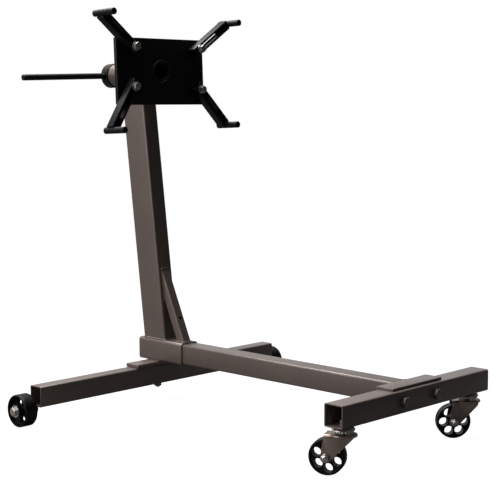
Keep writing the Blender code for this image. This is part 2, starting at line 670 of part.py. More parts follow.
def build_fork(side, pivot, steel):
    """Pressed fork: two legs under a round top, bored for the king bolt and the axle."""
    name = f"caster_fork_{side}"
    inner = CASTER_WHEEL["hub"] / 2.0 + FORK_SIDE_PLAY
    outer = inner + FORK_LEG_THICKNESS
    mesh = extruded(name, fork_outline(), -outer, outer)
    mesh.transform(Matrix.Rotation(math.pi / 2.0, 4, "X"))
    fork = solid(name, mesh, steel, pivot)
    disc_low = FORK_TOP_HEIGHT - FORK_TOP_THICKNESS
    disc = rod(f"{name}_disc", FORK_DISC_RADIUS, disc_low, FORK_TOP_HEIGHT - 0.00005, ROUND)
    fuse(fork, solid(f"{name}_disc", disc, None, pivot))
    reach = CASTER_TRAIL + FORK_AXLE_ROUND + 0.02
    gap = extruded(f"{name}_gap", [(-reach, -0.02), (FORK_FRONT + 0.02, -0.02), (FORK_FRONT + 0.02, disc_low),
                                   (-reach, disc_low)], -inner, inner)
    gap.transform(Matrix.Rotation(math.pi / 2.0, 4, "X"))
    king = rod(f"{name}_king_drill", KING_BOLT_RADIUS + RUN_GAP, disc_low - 0.01, FORK_TOP_HEIGHT + 0.01)
    axle = rod(f"{name}_axle_drill", AXLE_RADIUS + HOLE_GAP, -0.04, 0.04)
    cut(fork, solid(f"{name}_gap", gap, None, pivot), solid(f"{name}_king_drill", king, None, pivot),
        solid(f"{name}_axle_drill", axle, None, pivot, (-CASTER_TRAIL, 0, WHEEL_RADIUS), ALONG_Y))


def build_caster_axle(side, pivot, plating):
    """Axle bolt and nut across the fork."""
    outer = CASTER_WHEEL["hub"] / 2.0 + FORK_SIDE_PLAY + FORK_LEG_THICKNESS + TOUCH_GAP
    flats = CASTER_AXLE_AF / 2.0
    sections = [
        (-outer - CASTER_AXLE_HEAD, flats - 0.001, "round"), (-outer - CASTER_AXLE_HEAD + 0.001, flats, "hex"),
        (-outer, flats, "hex"), (-outer, AXLE_RADIUS, "round"), (outer, AXLE_RADIUS, "round"),
        (outer, flats, "hex"), (outer + 0.008, flats, "hex"), (outer + 0.008, AXLE_RADIUS, "round"),
        (outer + 0.011, AXLE_RADIUS, "round"), (outer + 0.012, AXLE_RADIUS - 0.001, "round")]
    mesh = stack(f"caster_axle_{side}", sections)
    solid(f"caster_axle_{side}", mesh, plating, pivot, (-CASTER_TRAIL, 0, WHEEL_RADIUS), ALONG_MINUS_Y)


def build_caster_bearing(side, place, frame, race_steel, plating):
    """Fixed race, ball ring and king bolt that hang the fork from the tube."""
    race_top = FRONT_BOTTOM - TOUCH_GAP
    race_low = race_top - RACE_THICKNESS
    bore = KING_BOLT_RADIUS + HOLE_GAP
    profile = [(bore, race_low + 0.003), (bore, race_top), (RACE_RADIUS - 0.006, race_top),
               (RACE_RADIUS - 0.001, race_low + 0.0045), (RACE_RADIUS, race_low + 0.0035),
               (RACE_RADIUS, race_low + 0.001), (RACE_RADIUS - 0.001, race_low), (RACE_RADIUS - 0.003, race_low),
               (RACE_RADIUS - 0.0035, race_low + 0.003)]
    solid(f"caster_race_{side}", turned(f"caster_race_{side}", profile), race_steel, frame, place)
    ring_low = FORK_TOP_HEIGHT + TOUCH_GAP
    ring_high = race_low + 0.003 - TOUCH_GAP
    middle = (ring_low + ring_high) / 2.0
    swell = 0.001
    profile = [(BALL_RING_BORE, ring_low), (BALL_RING_BORE, ring_high), (BALL_RING_RADIUS - swell, ring_high),
               (BALL_RING_RADIUS, middle), (BALL_RING_RADIUS - swell, ring_low)]
    solid(f"caster_ball_ring_{side}", turned(f"caster_ball_ring_{side}", profile), race_steel, frame, place)
    flats = KING_BOLT_AF / 2.0
    head_top = FORK_TOP_HEIGHT - FORK_TOP_THICKNESS - TOUCH_GAP
    nut_low = FRONT_BOTTOM + FRONT_WALL + TOUCH_GAP
    sections = [
        (head_top - KING_BOLT_HEAD, flats - 0.001, "round"), (head_top - KING_BOLT_HEAD + 0.001, flats, "hex"),
        (head_top, flats, "hex"), (head_top, KING_BOLT_RADIUS, "round"), (nut_low, KING_BOLT_RADIUS, "round"),
        (nut_low, flats, "hex"), (nut_low + 0.009, flats, "hex"), (nut_low + 0.009, KING_BOLT_RADIUS, "round"),
        (nut_low + 0.013, KING_BOLT_RADIUS, "round"), (nut_low + 0.014, KING_BOLT_RADIUS - 0.001, "round")]
    mesh = stack(f"caster_king_bolt_{side}", sections)
    solid(f"caster_king_bolt_{side}", mesh, plating, frame, place)


def build_caster(side, turn, frame, finishes):
    """One swivel caster, its fork turned about the king bolt."""
    place = (FRONT_AXIS_X, CASTER_Y[side], 0)
    build_caster_bearing(side, place, frame, finishes["bearing"], finishes["zinc"])
    swivel = empty(f"caster_swivel_{side}", frame, place, (0, 0, turn))
    build_fork(side, swivel, finishes["fork"])
    build_caster_axle(side, swivel, finishes["zinc"])
    roll = empty(f"caster_roll_{side}", swivel, (-CASTER_TRAIL, 0, WHEEL_RADIUS), ALONG_Y)
    build_wheel(f"caster_wheel_{side}", CASTER_WHEEL, roll, finishes["wheel"])
    build_bush(f"caster_bush_{side}", CASTER_WHEEL, roll, finishes["bearing"])


# --------------------------------------------------------------------- post and brace
def lean_direction(angle):
    """Unit vector leaning back from +Z by an angle."""
    return Vector((-math.sin(angle), 0.0, math.cos(angle)))


def build_post(frame, head, paint):
    """Leaning post, cut flat on the socket and coped round the head sleeve."""
    foot = (POST_BASE_X, 0.0, SOCKET_TOP + TOUCH_GAP)
    mesh = tube_between(
        "post", POST_DEPTH, POST_WIDTH, POST_WALL, POST_CORNER, foot, lean_direction(POST_LEAN),
        (math.cos(POST_LEAN), 0, math.sin(POST_LEAN)), (foot, (0, 0, 1)), ((0, 0, HEAD_HEIGHT), (0, 0, 1)))
    post = solid("post", mesh, paint, frame)
    cope = rod("post_cope", SLEEVE_RADIUS + TOUCH_GAP, -SLEEVE_REAR - 0.1, 0.1, ROUND)
    cut(post, solid("post_cope", cope, None, head, (0, 0, 0), ALONG_X))


def build_brace(frame, paint):
    """Diagonal tube from the socket's front end up to the post's front face."""
    foot_z = SOCKET_TOP + TOUCH_GAP
    foot = (BRACE_FOOT_X, 0.0, foot_z)
    direction = lean_direction(BRACE_LEAN)
    post_normal = Vector((math.cos(POST_LEAN), 0.0, math.sin(POST_LEAN)))
    post_foot = Vector((POST_BASE_X, 0.0, foot_z))
    post_face = post_foot + (POST_DEPTH / 2.0 + TOUCH_GAP) * post_normal
    mesh = tube_between(
        "post_brace", BRACE_SIZE, BRACE_SIZE, BRACE_WALL, BRACE_CORNER, foot, direction,
        (math.cos(BRACE_LEAN), 0, math.sin(BRACE_LEAN)), (foot, (0, 0, 1)), (post_face, post_normal))
    brace = solid("post_brace", mesh, paint, frame)
    middle = Vector(foot) + BRACE_HOLE_HEIGHT * direction
    drill = rod("brace_drill", BRACE_HOLE_RADIUS, 0.0, BRACE_SIZE)
    turn = (0.0, math.pi / 2.0 - BRACE_LEAN, 0.0)
    cut(brace, solid("brace_drill", drill, None, frame, middle, turn))


# ----------------------------------------------------------------------- rotating head
def build_sleeve(head, paint):
    """Fixed tube on top of the post that the head turns in."""
    inner = SLEEVE_RADIUS - SLEEVE_WALL
    mesh = pipe("head_sleeve", SLEEVE_RADIUS, inner, -SLEEVE_REAR, -SLEEVE_FRONT)
    sleeve = solid("head_sleeve", mesh, paint, head, (0, 0, 0), ALONG_X)
    drill = rod("lock_drill_sleeve", LOCK_PIN_RADIUS + HOLE_GAP, inner - 0.01, SLEEVE_RADIUS + 0.01)
    cut(sleeve, solid("lock_drill_sleeve", drill, None, head, (-LOCK_PIN_SETBACK, 0, 0)))


def build_lock(head, paint, plating):
    """Guide boss and pull pin that lock the head's angle, with the pin pulled out."""
    boss_low = SLEEVE_RADIUS + TOUCH_GAP
    boss_high = boss_low + LOCK_BOSS_HEIGHT
    mesh = pipe("lock_boss", LOCK_BOSS_RADIUS, LOCK_PIN_RADIUS + HOLE_GAP, boss_low, boss_high, SMALL_ROUND)
    solid("lock_boss", mesh, paint, head, (-LOCK_PIN_SETBACK, 0, 0))
    tip = HEAD_TUBE_RADIUS + LOCK_PIN_PARK
    knob = tip + LOCK_PIN_LENGTH
    sections = [
        (tip, LOCK_PIN_RADIUS - 0.0012, "round"), (tip + 0.0012, LOCK_PIN_RADIUS, "round"),
        (knob, LOCK_PIN_RADIUS, "round"), (knob, LOCK_KNOB_RADIUS - 0.0008, "round"),
        (knob + 0.0008, LOCK_KNOB_RADIUS, "round"), (knob + LOCK_KNOB_HEIGHT - 0.001, LOCK_KNOB_RADIUS, "round"),
        (knob + LOCK_KNOB_HEIGHT, LOCK_KNOB_RADIUS - 0.001, "round")]
    solid("lock_pin", stack("lock_pin", sections), plating, head, (-LOCK_PIN_SETBACK, 0, 0))


def build_head_tube(head, paint):
    """Hollow tube that turns in the sleeve and carries the plate and the collar."""
    inner = HEAD_TUBE_RADIUS - HEAD_TUBE_WALL
    mesh = pipe("head_tube", HEAD_TUBE_RADIUS, inner, -COLLAR_REAR, 0.0)
    tube = solid("head_tube", mesh, paint, head, (0, 0, 0), ALONG_X)
    for i in range(LOCK_HOLES // 2):
        angle = math.pi * i / (LOCK_HOLES // 2)
        drill = rod(f"lock_drill_tube_{i}", LOCK_PIN_RADIUS + HOLE_GAP, -SLEEVE_RADIUS, SLEEVE_RADIUS, BOLT_ROUND)
        place = (-LOCK_PIN_SETBACK, 0, 0)
        cut(tube, solid(f"lock_drill_tube_{i}", drill, None, head, place, (angle, 0, 0)))
    drill = rod("handle_drill_tube", HANDLE_RADIUS + HANDLE_PLAY, -COLLAR_RADIUS - 0.01, COLLAR_RADIUS + 0.01)
    cut(tube, solid("handle_drill_tube", drill, None, head, (-HANDLE_SETBACK, 0, 0), ALONG_Y))


def build_collar(head, paint):
    """Ring welded round the rear end of the head tube, drilled for the handle."""
    inner = HEAD_TUBE_RADIUS + TOUCH_GAP
    edge = 0.0015
    profile = [(inner, -COLLAR_REAR), (inner, -COLLAR_FRONT), (COLLAR_RADIUS, -COLLAR_FRONT),
               (COLLAR_RADIUS, -COLLAR_REAR + edge), (COLLAR_RADIUS - edge, -COLLAR_REAR)]
    collar = solid("tube_collar", turned("tube_collar", profile), paint, head, (0, 0, 0), ALONG_X)
    drill = rod("handle_drill_collar", HANDLE_RADIUS + HANDLE_PLAY, -COLLAR_RADIUS - 0.01, COLLAR_RADIUS + 0.01)
    cut(collar, solid("handle_drill_collar", drill, None, head, (-HANDLE_SETBACK, 0, 0), ALONG_Y))


def build_handle(head, paint):
    """Turning bar that slides in the collar's loose hole, its long end hanging a little low."""
    edge = HANDLE_END_ROUND
    turn = (ALONG_Y[0] + HANDLE_DROOP, 0, 0)
    sections = [
        (-HANDLE_RIGHT_REACH, HANDLE_RADIUS - edge, "round"),
        (-HANDLE_RIGHT_REACH + 0.3 * edge, HANDLE_RADIUS - 0.3 * edge, "round"),
        (-HANDLE_RIGHT_REACH + edge, HANDLE_RADIUS, "round"), (HANDLE_LEFT_REACH - edge, HANDLE_RADIUS, "round"),
        (HANDLE_LEFT_REACH - 0.3 * edge, HANDLE_RADIUS - 0.3 * edge, "round"),
        (HANDLE_LEFT_REACH, HANDLE_RADIUS - edge, "round")]
    solid("handle_bar", stack("handle_bar", sections, SMALL_ROUND), paint, head, (-HANDLE_SETBACK, 0, 0), turn)


def build_head_plate(head, paint):
    """Face plate with the tube's bore and the four arm bolt holes."""
    outline = rounded_rectangle(HEAD_PLATE_HEIGHT, HEAD_PLATE_WIDTH, HEAD_PLATE_CORNER)
    mesh = extruded("head_plate", outline, -HEAD_PLATE_THICKNESS, 0.0)
    plate = solid("head_plate", mesh, paint, head, (0, 0, 0), ALONG_X)
    bore = rod("plate_bore", HEAD_TUBE_RADIUS + TOUCH_GAP, -HEAD_PLATE_THICKNESS - 0.01, 0.01, ROUND)
    cut(plate, solid("plate_bore", bore, None, head, (0, 0, 0), ALONG_X))
    for name, (sideways, height, _, _) in ARMS.items():
        drill = rod(f"arm_drill_{name}", ARM_BOLT_RADIUS + HOLE_GAP, -HEAD_PLATE_THICKNESS - 0.01, 0.01)
        cut(plate, solid(f"arm_drill_{name}", drill, None, head, (0, sideways, height), ALONG_X))


# -------------------------------------------------------------------------------- arms
def build_arm(name, head, finishes):
    """Slotted arm on its bolt, with the round mounting sleeve across its end.

    The pivot's X axis is the bolt's axis and its Z axis runs out along the arm.
    """
    sideways, height, direction, pushed_in = ARMS[name]
    pivot = empty(f"arm_pivot_{name}", head, (0, sideways, height), (direction - math.pi / 2.0, 0, 0))
    slide = empty(f"arm_slide_{name}", pivot, (0, 0, -pushed_in))
    middle = TOUCH_GAP + ARM_SIZE / 2.0
    mesh = tube_between(
        f"arm_{name}", ARM_SIZE, ARM_SIZE, ARM_WALL, ARM_CORNER, (middle, 0, 0), (0, 0, 1), (1, 0, 0),
        ((0, 0, -ARM_TAIL), (0, 0, 1)), ((0, 0, ARM_REACH - TIP_RADIUS / 2.0), (0, 0, 1)))
    arm = solid(f"arm_{name}", mesh, finishes["head"], slide)
    half_slot = ARM_BOLT_RADIUS + HOLE_GAP
    outline = arc(0.0, 0.0, half_slot, math.pi, 2.0 * math.pi, 6)
    outline += arc(0.0, ARM_SLOT_LENGTH, half_slot, 0.0, math.pi, 6)
    slot = extruded(f"arm_slot_{name}", outline, -0.01, ARM_SIZE + 0.01)
    slot.transform(Matrix(((0, 0, 1, 0), (1, 0, 0, 0), (0, 1, 0, 0), (0, 0, 0, 1))))
    cope = rod(f"arm_cope_{name}", TIP_RADIUS + TOUCH_GAP, -0.02, ARM_SIZE + 0.02, SMALL_ROUND)
    cut(arm, solid(f"arm_slot_{name}", slot, None, slide),
        solid(f"arm_cope_{name}", cope, None, slide, (0, 0, ARM_REACH), ALONG_X))
    tip = pipe(f"arm_tip_{name}", TIP_RADIUS, TIP_BORE, -TIP_BACK, TIP_LENGTH - TIP_BACK, SMALL_ROUND)
    solid(f"arm_tip_{name}", tip, finishes["head"], slide, (0, 0, ARM_REACH), ALONG_X)
    seat = TOUCH_GAP + ARM_SIZE + TOUCH_GAP
    washer = pipe(f"arm_washer_{name}", ARM_WASHER_RADIUS, ARM_BOLT_RADIUS + HOLE_GAP, seat,
                  seat + ARM_WASHER_THICKNESS, SMALL_ROUND)
    solid(f"arm_washer_{name}", washer, finishes["zinc"], pivot, (0, 0, 0), ALONG_X)
    under_head = seat + ARM_WASHER_THICKNESS + TOUCH_GAP
    behind = -HEAD_PLATE_THICKNESS - TOUCH_GAP
    flats = ARM_BOLT_AF / 2.0
    sections = [
        (behind - 0.014, ARM_BOLT_RADIUS - 0.001, "round"), (behind - 0.013, ARM_BOLT_RADIUS, "round"),
        (behind - 0.010, ARM_BOLT_RADIUS, "round"), (behind - 0.010, flats, "hex"), (behind, flats, "hex"),
        (behind, ARM_BOLT_RADIUS, "round"), (under_head, ARM_BOLT_RADIUS, "round"), (under_head, flats, "hex"),
        (under_head + ARM_BOLT_HEAD - 0.001, flats, "hex"), (under_head + ARM_BOLT_HEAD, flats - 0.001, "round")]
    solid(f"arm_bolt_{name}", stack(f"arm_bolt_{name}", sections), finishes["zinc"], pivot, (0, 0, 0), ALONG_X)


# ---------------------------------------------------------------------------- assembly
def build_stand():
    """Build every piece under one frame empty."""
    clear_scene()
    finishes = {
        "frame": frame_paint(), "head": head_paint(), "wheel": wheel_plastic(),
        "zinc": zinc(), "fork": fork_steel(), "bearing": bearing_steel()}
    frame = empty("stand_frame", None, (-MIDDLE_X, 0, 0))
    head = empty("head_axis", frame, (HEAD_FACE_X, 0, HEAD_HEIGHT), (0, -HEAD_TILT, 0))

    build_rear_crossmember(frame, finishes["frame"])
    build_mount_plate(frame, finishes["frame"])
    build_base_bolt(frame, finishes["zinc"])
    build_socket(frame, finishes["frame"])
    build_leg(frame, finishes["frame"])
    build_post(frame, head, finishes["frame"])
    build_brace(frame, finishes["frame"])
    build_front_crossmember(frame, finishes["frame"])
    build_bracket(frame, finishes["frame"])
    turns = {"right": CASTER_TURN_RIGHT, "left": CASTER_TURN_LEFT}
    for side, sign in SIDES:
        build_axle_boss(side, sign, frame, finishes["frame"])
        build_rear_axle(side, sign, frame, finishes["zinc"])
        roll = empty(f"rear_roll_{side}", frame, (REAR_AXLE_X, sign * REAR_WHEEL_Y, WHEEL_RADIUS), ALONG_Y)
        build_wheel(f"rear_wheel_{side}", REAR_WHEEL, roll, finishes["wheel"])
        build_bush(f"rear_bush_{side}", REAR_WHEEL, roll, finishes["bearing"])
        build_bracket_bolt(side, sign, frame, finishes["zinc"])
        build_caster(side, turns[side], frame, finishes)

    build_sleeve(head, finishes["frame"])
    build_lock(head, finishes["frame"], finishes["zinc"])
    build_head_tube(head, finishes["head"])
    build_collar(head, finishes["head"])
    build_head_plate(head, finishes["head"])
    build_handle(head, finishes["head"])
    for name in ARMS:
        build_arm(name, head, finishes)


build_stand()
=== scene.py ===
import json
import math
import bmesh
import bpy
from mathutils import Matrix, Vector, noise


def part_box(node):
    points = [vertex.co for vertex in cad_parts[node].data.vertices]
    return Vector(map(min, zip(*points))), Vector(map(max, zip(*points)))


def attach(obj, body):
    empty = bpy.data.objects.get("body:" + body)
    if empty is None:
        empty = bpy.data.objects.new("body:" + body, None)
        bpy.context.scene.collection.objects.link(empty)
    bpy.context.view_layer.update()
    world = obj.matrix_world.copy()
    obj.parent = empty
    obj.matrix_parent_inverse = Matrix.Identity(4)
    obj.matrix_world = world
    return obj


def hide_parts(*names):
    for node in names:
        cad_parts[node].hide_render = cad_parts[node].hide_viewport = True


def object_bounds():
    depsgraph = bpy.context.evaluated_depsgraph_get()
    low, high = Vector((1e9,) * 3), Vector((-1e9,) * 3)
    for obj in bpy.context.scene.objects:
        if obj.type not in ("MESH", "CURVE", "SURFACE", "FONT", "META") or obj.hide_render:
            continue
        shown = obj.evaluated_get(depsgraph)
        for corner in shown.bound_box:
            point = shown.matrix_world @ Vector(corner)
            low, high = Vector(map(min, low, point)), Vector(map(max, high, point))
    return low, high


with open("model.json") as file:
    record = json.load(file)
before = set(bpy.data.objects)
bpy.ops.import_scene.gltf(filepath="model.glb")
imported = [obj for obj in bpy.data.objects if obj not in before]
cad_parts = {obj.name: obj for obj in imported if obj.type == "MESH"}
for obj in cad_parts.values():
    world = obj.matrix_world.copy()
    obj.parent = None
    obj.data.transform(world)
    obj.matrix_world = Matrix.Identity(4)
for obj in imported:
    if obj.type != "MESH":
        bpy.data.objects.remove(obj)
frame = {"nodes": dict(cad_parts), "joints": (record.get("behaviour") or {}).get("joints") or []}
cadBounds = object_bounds()
joints = {joint["name"]: joint for joint in frame["joints"]}
print("frame loaded:", len(frame["nodes"]), "nodes")

gap = 0.0003  # between two pieces that touch
sides = (("right", -1), ("left", 1))  # right is -Y


# small helpers for modelling by hand

def deselect():
    if bpy.context.mode != "OBJECT":
        bpy.ops.object.mode_set(mode="OBJECT")
    bpy.ops.object.select_all(action="DESELECT")


def activate(*pieces):
    deselect()
    for piece in pieces:
        piece.select_set(True)
    bpy.context.view_layer.objects.active = pieces[0]


def pick(piece, kind, test):
    # edit mode with only the faces, edges or vertices that pass the test selected
    if bpy.context.mode != "EDIT_MESH":
        activate(piece)
        bpy.ops.object.mode_set(mode="EDIT")
    bpy.ops.mesh.select_mode(type=kind)
    bpy.ops.mesh.select_all(action="DESELECT")
    shape = bmesh.from_edit_mesh(piece.data)
    for item in {"FACE": shape.faces, "EDGE": shape.edges, "VERT": shape.verts}[kind]:
        if test(item):
            item.select_set(True)
    shape.select_flush_mode()
    bmesh.update_edit_mesh(piece.data)


def edgeAlong(axis):
    direction = Vector(axis)
    return lambda edge: abs((edge.verts[0].co - edge.verts[1].co).normalized().dot(direction)) > 0.95


def faceTowards(axis, least=0.95):
    direction = Vector(axis)
    return lambda face: face.normal.dot(direction) > least


def fixNormals(piece):
    activate(piece)
    bpy.ops.object.mode_set(mode="EDIT")
    bpy.ops.mesh.select_all(action="SELECT")
    bpy.ops.mesh.normals_make_consistent(inside=False)
    bpy.ops.object.mode_set(mode="OBJECT")


def applyModifier(piece, modifier):
    activate(piece)
    bpy.ops.object.modifier_apply(modifier=modifier.name)


def softenEdges(piece, width, segments=2, angle=35):
    modifier = piece.modifiers.new("edges", "BEVEL")
    modifier.width = width
    modifier.segments = segments
    modifier.limit_method = "ANGLE"
    modifier.angle_limit = math.radians(angle)
    applyModifier(piece, modifier)


def carve(piece, cutter, operation="DIFFERENCE"):
    modifier = piece.modifiers.new("carve", "BOOLEAN")
    modifier.operation = operation
    modifier.solver = "EXACT"
    modifier.object = cutter
    applyModifier(piece, modifier)
    bpy.data.objects.remove(cutter, do_unlink=True)


def smooth(piece, angle=32):
    activate(piece)
    bpy.ops.object.shade_smooth_by_angle(angle=math.radians(angle))


def putAt(piece, matrix):
    # moves a piece made at the origin to its place, and leaves that place in its mesh
    piece.matrix_world = matrix @ piece.matrix_world
    activate(piece)
    bpy.ops.object.transform_apply(location=True, rotation=True, scale=True)


def join(name, *pieces):
    activate(*pieces)
    bpy.ops.object.join()
    pieces[0].name = pieces[0].data.name = name
    return pieces[0]


def copyOf(piece, name):
    twin = piece.copy()
    twin.data = piece.data.copy()
    twin.name = twin.data.name = name
    bpy.context.scene.collection.objects.link(twin)
    return twin


def dress(piece, material, body, *nodes, slot=None):
    # material, the body it moves with, and the CAD nodes it stands for
    piece.data.materials.clear()
    piece.data.materials.append(material)
    if nodes:
        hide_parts(*nodes)
    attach(piece, body)
    return piece


def frameFrom(origin, xAxis, zAxis):
    z = Vector(zAxis).normalized()
    x = (Vector(xAxis) - Vector(xAxis).dot(z) * z).normalized()
    y = z.cross(x)
    matrix = Matrix((x, y, z)).transposed().to_4x4()
    matrix.translation = Vector(origin)
    return matrix


# shapes that many pieces start from

def drawPath(name, points, closed):
    # a chain of vertices, extruded one after another
    deselect()
    bpy.ops.mesh.primitive_plane_add(size=0.001)
    piece = bpy.context.object
    piece.name = piece.data.name = name
    bpy.ops.object.mode_set(mode="EDIT")
    bpy.ops.mesh.select_mode(type="VERT")
    bpy.ops.mesh.select_all(action="SELECT")
    bpy.ops.mesh.merge(type="CENTER")
    bpy.ops.transform.translate(value=points[0])
    chain = list(points) + ([points[0]] if closed else [])
    for here, there in zip(chain, chain[1:]):
        step = Vector(there) - Vector(here)
        bpy.ops.mesh.extrude_vertices_move(TRANSFORM_OT_translate={"value": step})
    bpy.ops.mesh.select_all(action="SELECT")
    bpy.ops.mesh.remove_doubles(threshold=0.000001)
    return piece


def lathe(name, profile, steps=64, closed=True):
    # a profile of (radius, height) points, spun round Z
    piece = drawPath(name, [(radius, 0, height) for radius, height in profile], closed)
    bpy.ops.mesh.select_all(action="SELECT")
    bpy.ops.mesh.spin(steps=steps, angle=2 * math.pi, center=(0, 0, 0), axis=(0, 0, 1))
    bpy.ops.mesh.select_all(action="SELECT")
    bpy.ops.mesh.remove_doubles(threshold=0.000005)
    fixNormals(piece)
    return piece


def plateFrom(name, outline, low, high):
    # a flat outline of (x, y) points, filled and extruded up Z
    piece = drawPath(name, [(x, y, low) for x, y in outline], True)
    bpy.ops.mesh.edge_face_add()
    bpy.ops.mesh.extrude_region_move(TRANSFORM_OT_translate={"value": (0, 0, high - low)})
    fixNormals(piece)
    return piece


def roundBar(name, radius, low, high, edge=0.0004, steps=48):
    deselect()
    bpy.ops.mesh.primitive_cylinder_add(vertices=steps, radius=radius, depth=high - low, location=(0, 0, (low + high) / 2))
    piece = bpy.context.object
    piece.name = piece.data.name = name
    bpy.ops.object.transform_apply(location=True, rotation=True, scale=True)
    if edge:
        pick(piece, "EDGE", lambda e: abs(e.verts[0].co.z - e.verts[1].co.z) < 0.00001)
        bpy.ops.mesh.bevel(offset=edge, segments=2, affect="EDGES")
        bpy.ops.object.mode_set(mode="OBJECT")
    return piece


def roundPipe(name, outer, inner, low, high, edge=0.0005, steps=64):
    profile = [(outer - edge, low), (outer, low + edge), (outer, high - edge), (outer - edge, high),
               (inner + edge, high), (inner, high - edge), (inner, low + edge), (inner + edge, low)]
    return lathe(name, profile, steps)


def block(name, size, centre):
    deselect()
    bpy.ops.mesh.primitive_cube_add(size=1, location=centre)
    piece = bpy.context.object
    piece.name = piece.data.name = name
    piece.scale = size
    bpy.ops.object.transform_apply(location=True, rotation=True, scale=True)
    return piece


def drill(piece, radius, low, high, matrix, steps=32):
    cutter = roundBar("drillBit", radius, low, high, 0, steps)
    putAt(cutter, matrix)
    carve(piece, cutter)


def squareTube(name, spec, low, high, matrix, cuts=()):
    # hollow tube along Z with rounded corners, cut off by world planes
    middle = (0, 0, (low + high) / 2)
    tube = block(name, (spec["width"], spec["height"], high - low), middle)
    pick(tube, "EDGE", edgeAlong((0, 0, 1)))
    bpy.ops.mesh.bevel(offset=spec["corner"], segments=6, affect="EDGES")
    pick(tube, "FACE", lambda face: abs(face.normal.z) > 0.95)
    bpy.ops.mesh.inset(thickness=spec["wall"], use_even_offset=True)
    bpy.ops.mesh.delete(type="ONLY_FACE")
    pick(tube, "EDGE", lambda edge: edge.is_boundary)
    bpy.ops.mesh.bridge_edge_loops()
    bpy.ops.object.mode_set(mode="OBJECT")
    putAt(tube, matrix)
    for point, normal in cuts:
        activate(tube)
        bpy.ops.object.mode_set(mode="EDIT")
        bpy.ops.mesh.select_all(action="SELECT")
        bpy.ops.mesh.bisect(plane_co=point, plane_no=normal, clear_outer=True, use_fill=False)
        pick(tube, "EDGE", lambda edge: edge.is_boundary)
        bpy.ops.mesh.bridge_edge_loops()
        bpy.ops.object.mode_set(mode="OBJECT")
    fixNormals(tube)
    return tube


def arc(centreX, centreY, radius, start, end, steps):
    turn = (end - start) / steps
    angles = [math.radians(start + turn * step) for step in range(steps + 1)]
    return [(centreX + radius * math.cos(angle), centreY + radius * math.sin(angle)) for angle in angles]


def weldBead(name, path, radius, closed, material, body, slot):
    # a bead laid along a path, with the ripples that the torch leaves
    ripple = 0.0019
    points = [Vector(point) for point in path]
    if closed:
        points.append(points[0])
    along = []
    for here, there in zip(points, points[1:]):
        count = max(2, round((there - here).length / (ripple / 3)))
        along += [here.lerp(there, step / count) for step in range(count)]
    if not closed:
        along.append(points[-1])
    curve = bpy.data.curves.new(name, "CURVE")
    curve.dimensions = "3D"
    curve.bevel_depth = radius
    curve.bevel_resolution = 2
    curve.use_fill_caps = True
    spline = curve.splines.new("POLY")
    spline.points.add(len(along) - 1)
    travelled = 0.0
    for index, point in enumerate(along):
        if index:
            travelled += (point - along[index - 1]).length
        wave = (travelled / ripple) % 1.0
        wander = noise.noise_vector(point * 160) * radius * 0.16
        spline.points[index].co = (*(point + wander), 1)
        spline.points[index].radius = 0.86 + 0.2 * math.sin(math.pi * wave) + 0.12 * noise.noise(point * 420)
    spline.use_cyclic_u = closed
    bead = bpy.data.objects.new(name, curve)
    bpy.context.scene.collection.objects.link(bead)
    activate(bead)
    bpy.ops.object.convert(target="MESH")
    bead = bpy.context.object
    fixNormals(bead)
    smooth(bead, 60)
    return dress(bead, material, body, slot=slot)


# shader groups that several finishes share

def newGroup(name, inputs, outputs):
    group = bpy.data.node_groups.new(name, "ShaderNodeTree")
    for label, value in inputs:
        socket = group.interface.new_socket(name=label, in_out="INPUT", socket_type="NodeSocketFloat")
        socket.default_value = value
    for label, kind in outputs:
        group.interface.new_socket(name=label, in_out="OUTPUT", socket_type=kind)
    return group, group.nodes.new("NodeGroupInput"), group.nodes.new("NodeGroupOutput")


def addNode(tree, kind, settings=None, **values):
    node = tree.nodes.new(kind)
    for key, value in (settings or {}).items():
        setattr(node, key, value)
    for key, value in values.items():
        node.inputs[key.replace("_", " ")].default_value = value
    return node


def mathNode(tree, operation, first, second, clamp=False):
    node = tree.nodes.new("ShaderNodeMath")
    node.operation = operation
    node.use_clamp = clamp
    for socket, value in zip(node.inputs, (first, second)):
        if isinstance(value, (int, float)):
            socket.default_value = value
        else:
            tree.links.new(value, socket)
    return node.outputs[0]


def spread(tree, value, fromLow, fromHigh, toLow=0.0, toHigh=1.0):
    node = tree.nodes.new("ShaderNodeMapRange")
    node.interpolation_type = "SMOOTHSTEP"
    for label, number in (("From Min", fromLow), ("From Max", fromHigh), ("To Min", toLow), ("To Max", toHigh)):
        if isinstance(number, (int, float)):
            node.inputs[label].default_value = number
        else:
            tree.links.new(number, node.inputs[label])
    tree.links.new(value, node.inputs["Value"])
    return node.outputs["Result"]


def makeSkinGroup():
    # orange peel of a sprayed coat, and slow patches across the piece
    group, given, result = newGroup(
        "sprayedSkin", [("Peel Scale", 420.0), ("Patch Scale", 7.0)],
        [("Height", "NodeSocketFloat"), ("Patches", "NodeSocketFloat"), ("Specks", "NodeSocketFloat")])
    place = group.nodes.new("ShaderNodeTexCoord")
    peel = addNode(group, "ShaderNodeTexNoise", Detail=2.0, Roughness=0.45)
    patch = addNode(group, "ShaderNodeTexNoise", Detail=5.0, Roughness=0.55)
    speck = addNode(group, "ShaderNodeTexNoise", Scale=1500.0, Detail=1.0)
    for node in (peel, patch, speck):
        group.links.new(place.outputs["Object"], node.inputs["Vector"])
    group.links.new(given.outputs["Peel Scale"], peel.inputs["Scale"])
    group.links.new(given.outputs["Patch Scale"], patch.inputs["Scale"])
    group.links.new(peel.outputs["Fac"], result.inputs["Height"])
    group.links.new(spread(group, patch.outputs["Fac"], 0.32, 0.68), result.inputs["Patches"])
    group.links.new(spread(group, speck.outputs["Fac"], 0.45, 0.75), result.inputs["Specks"])
    return group


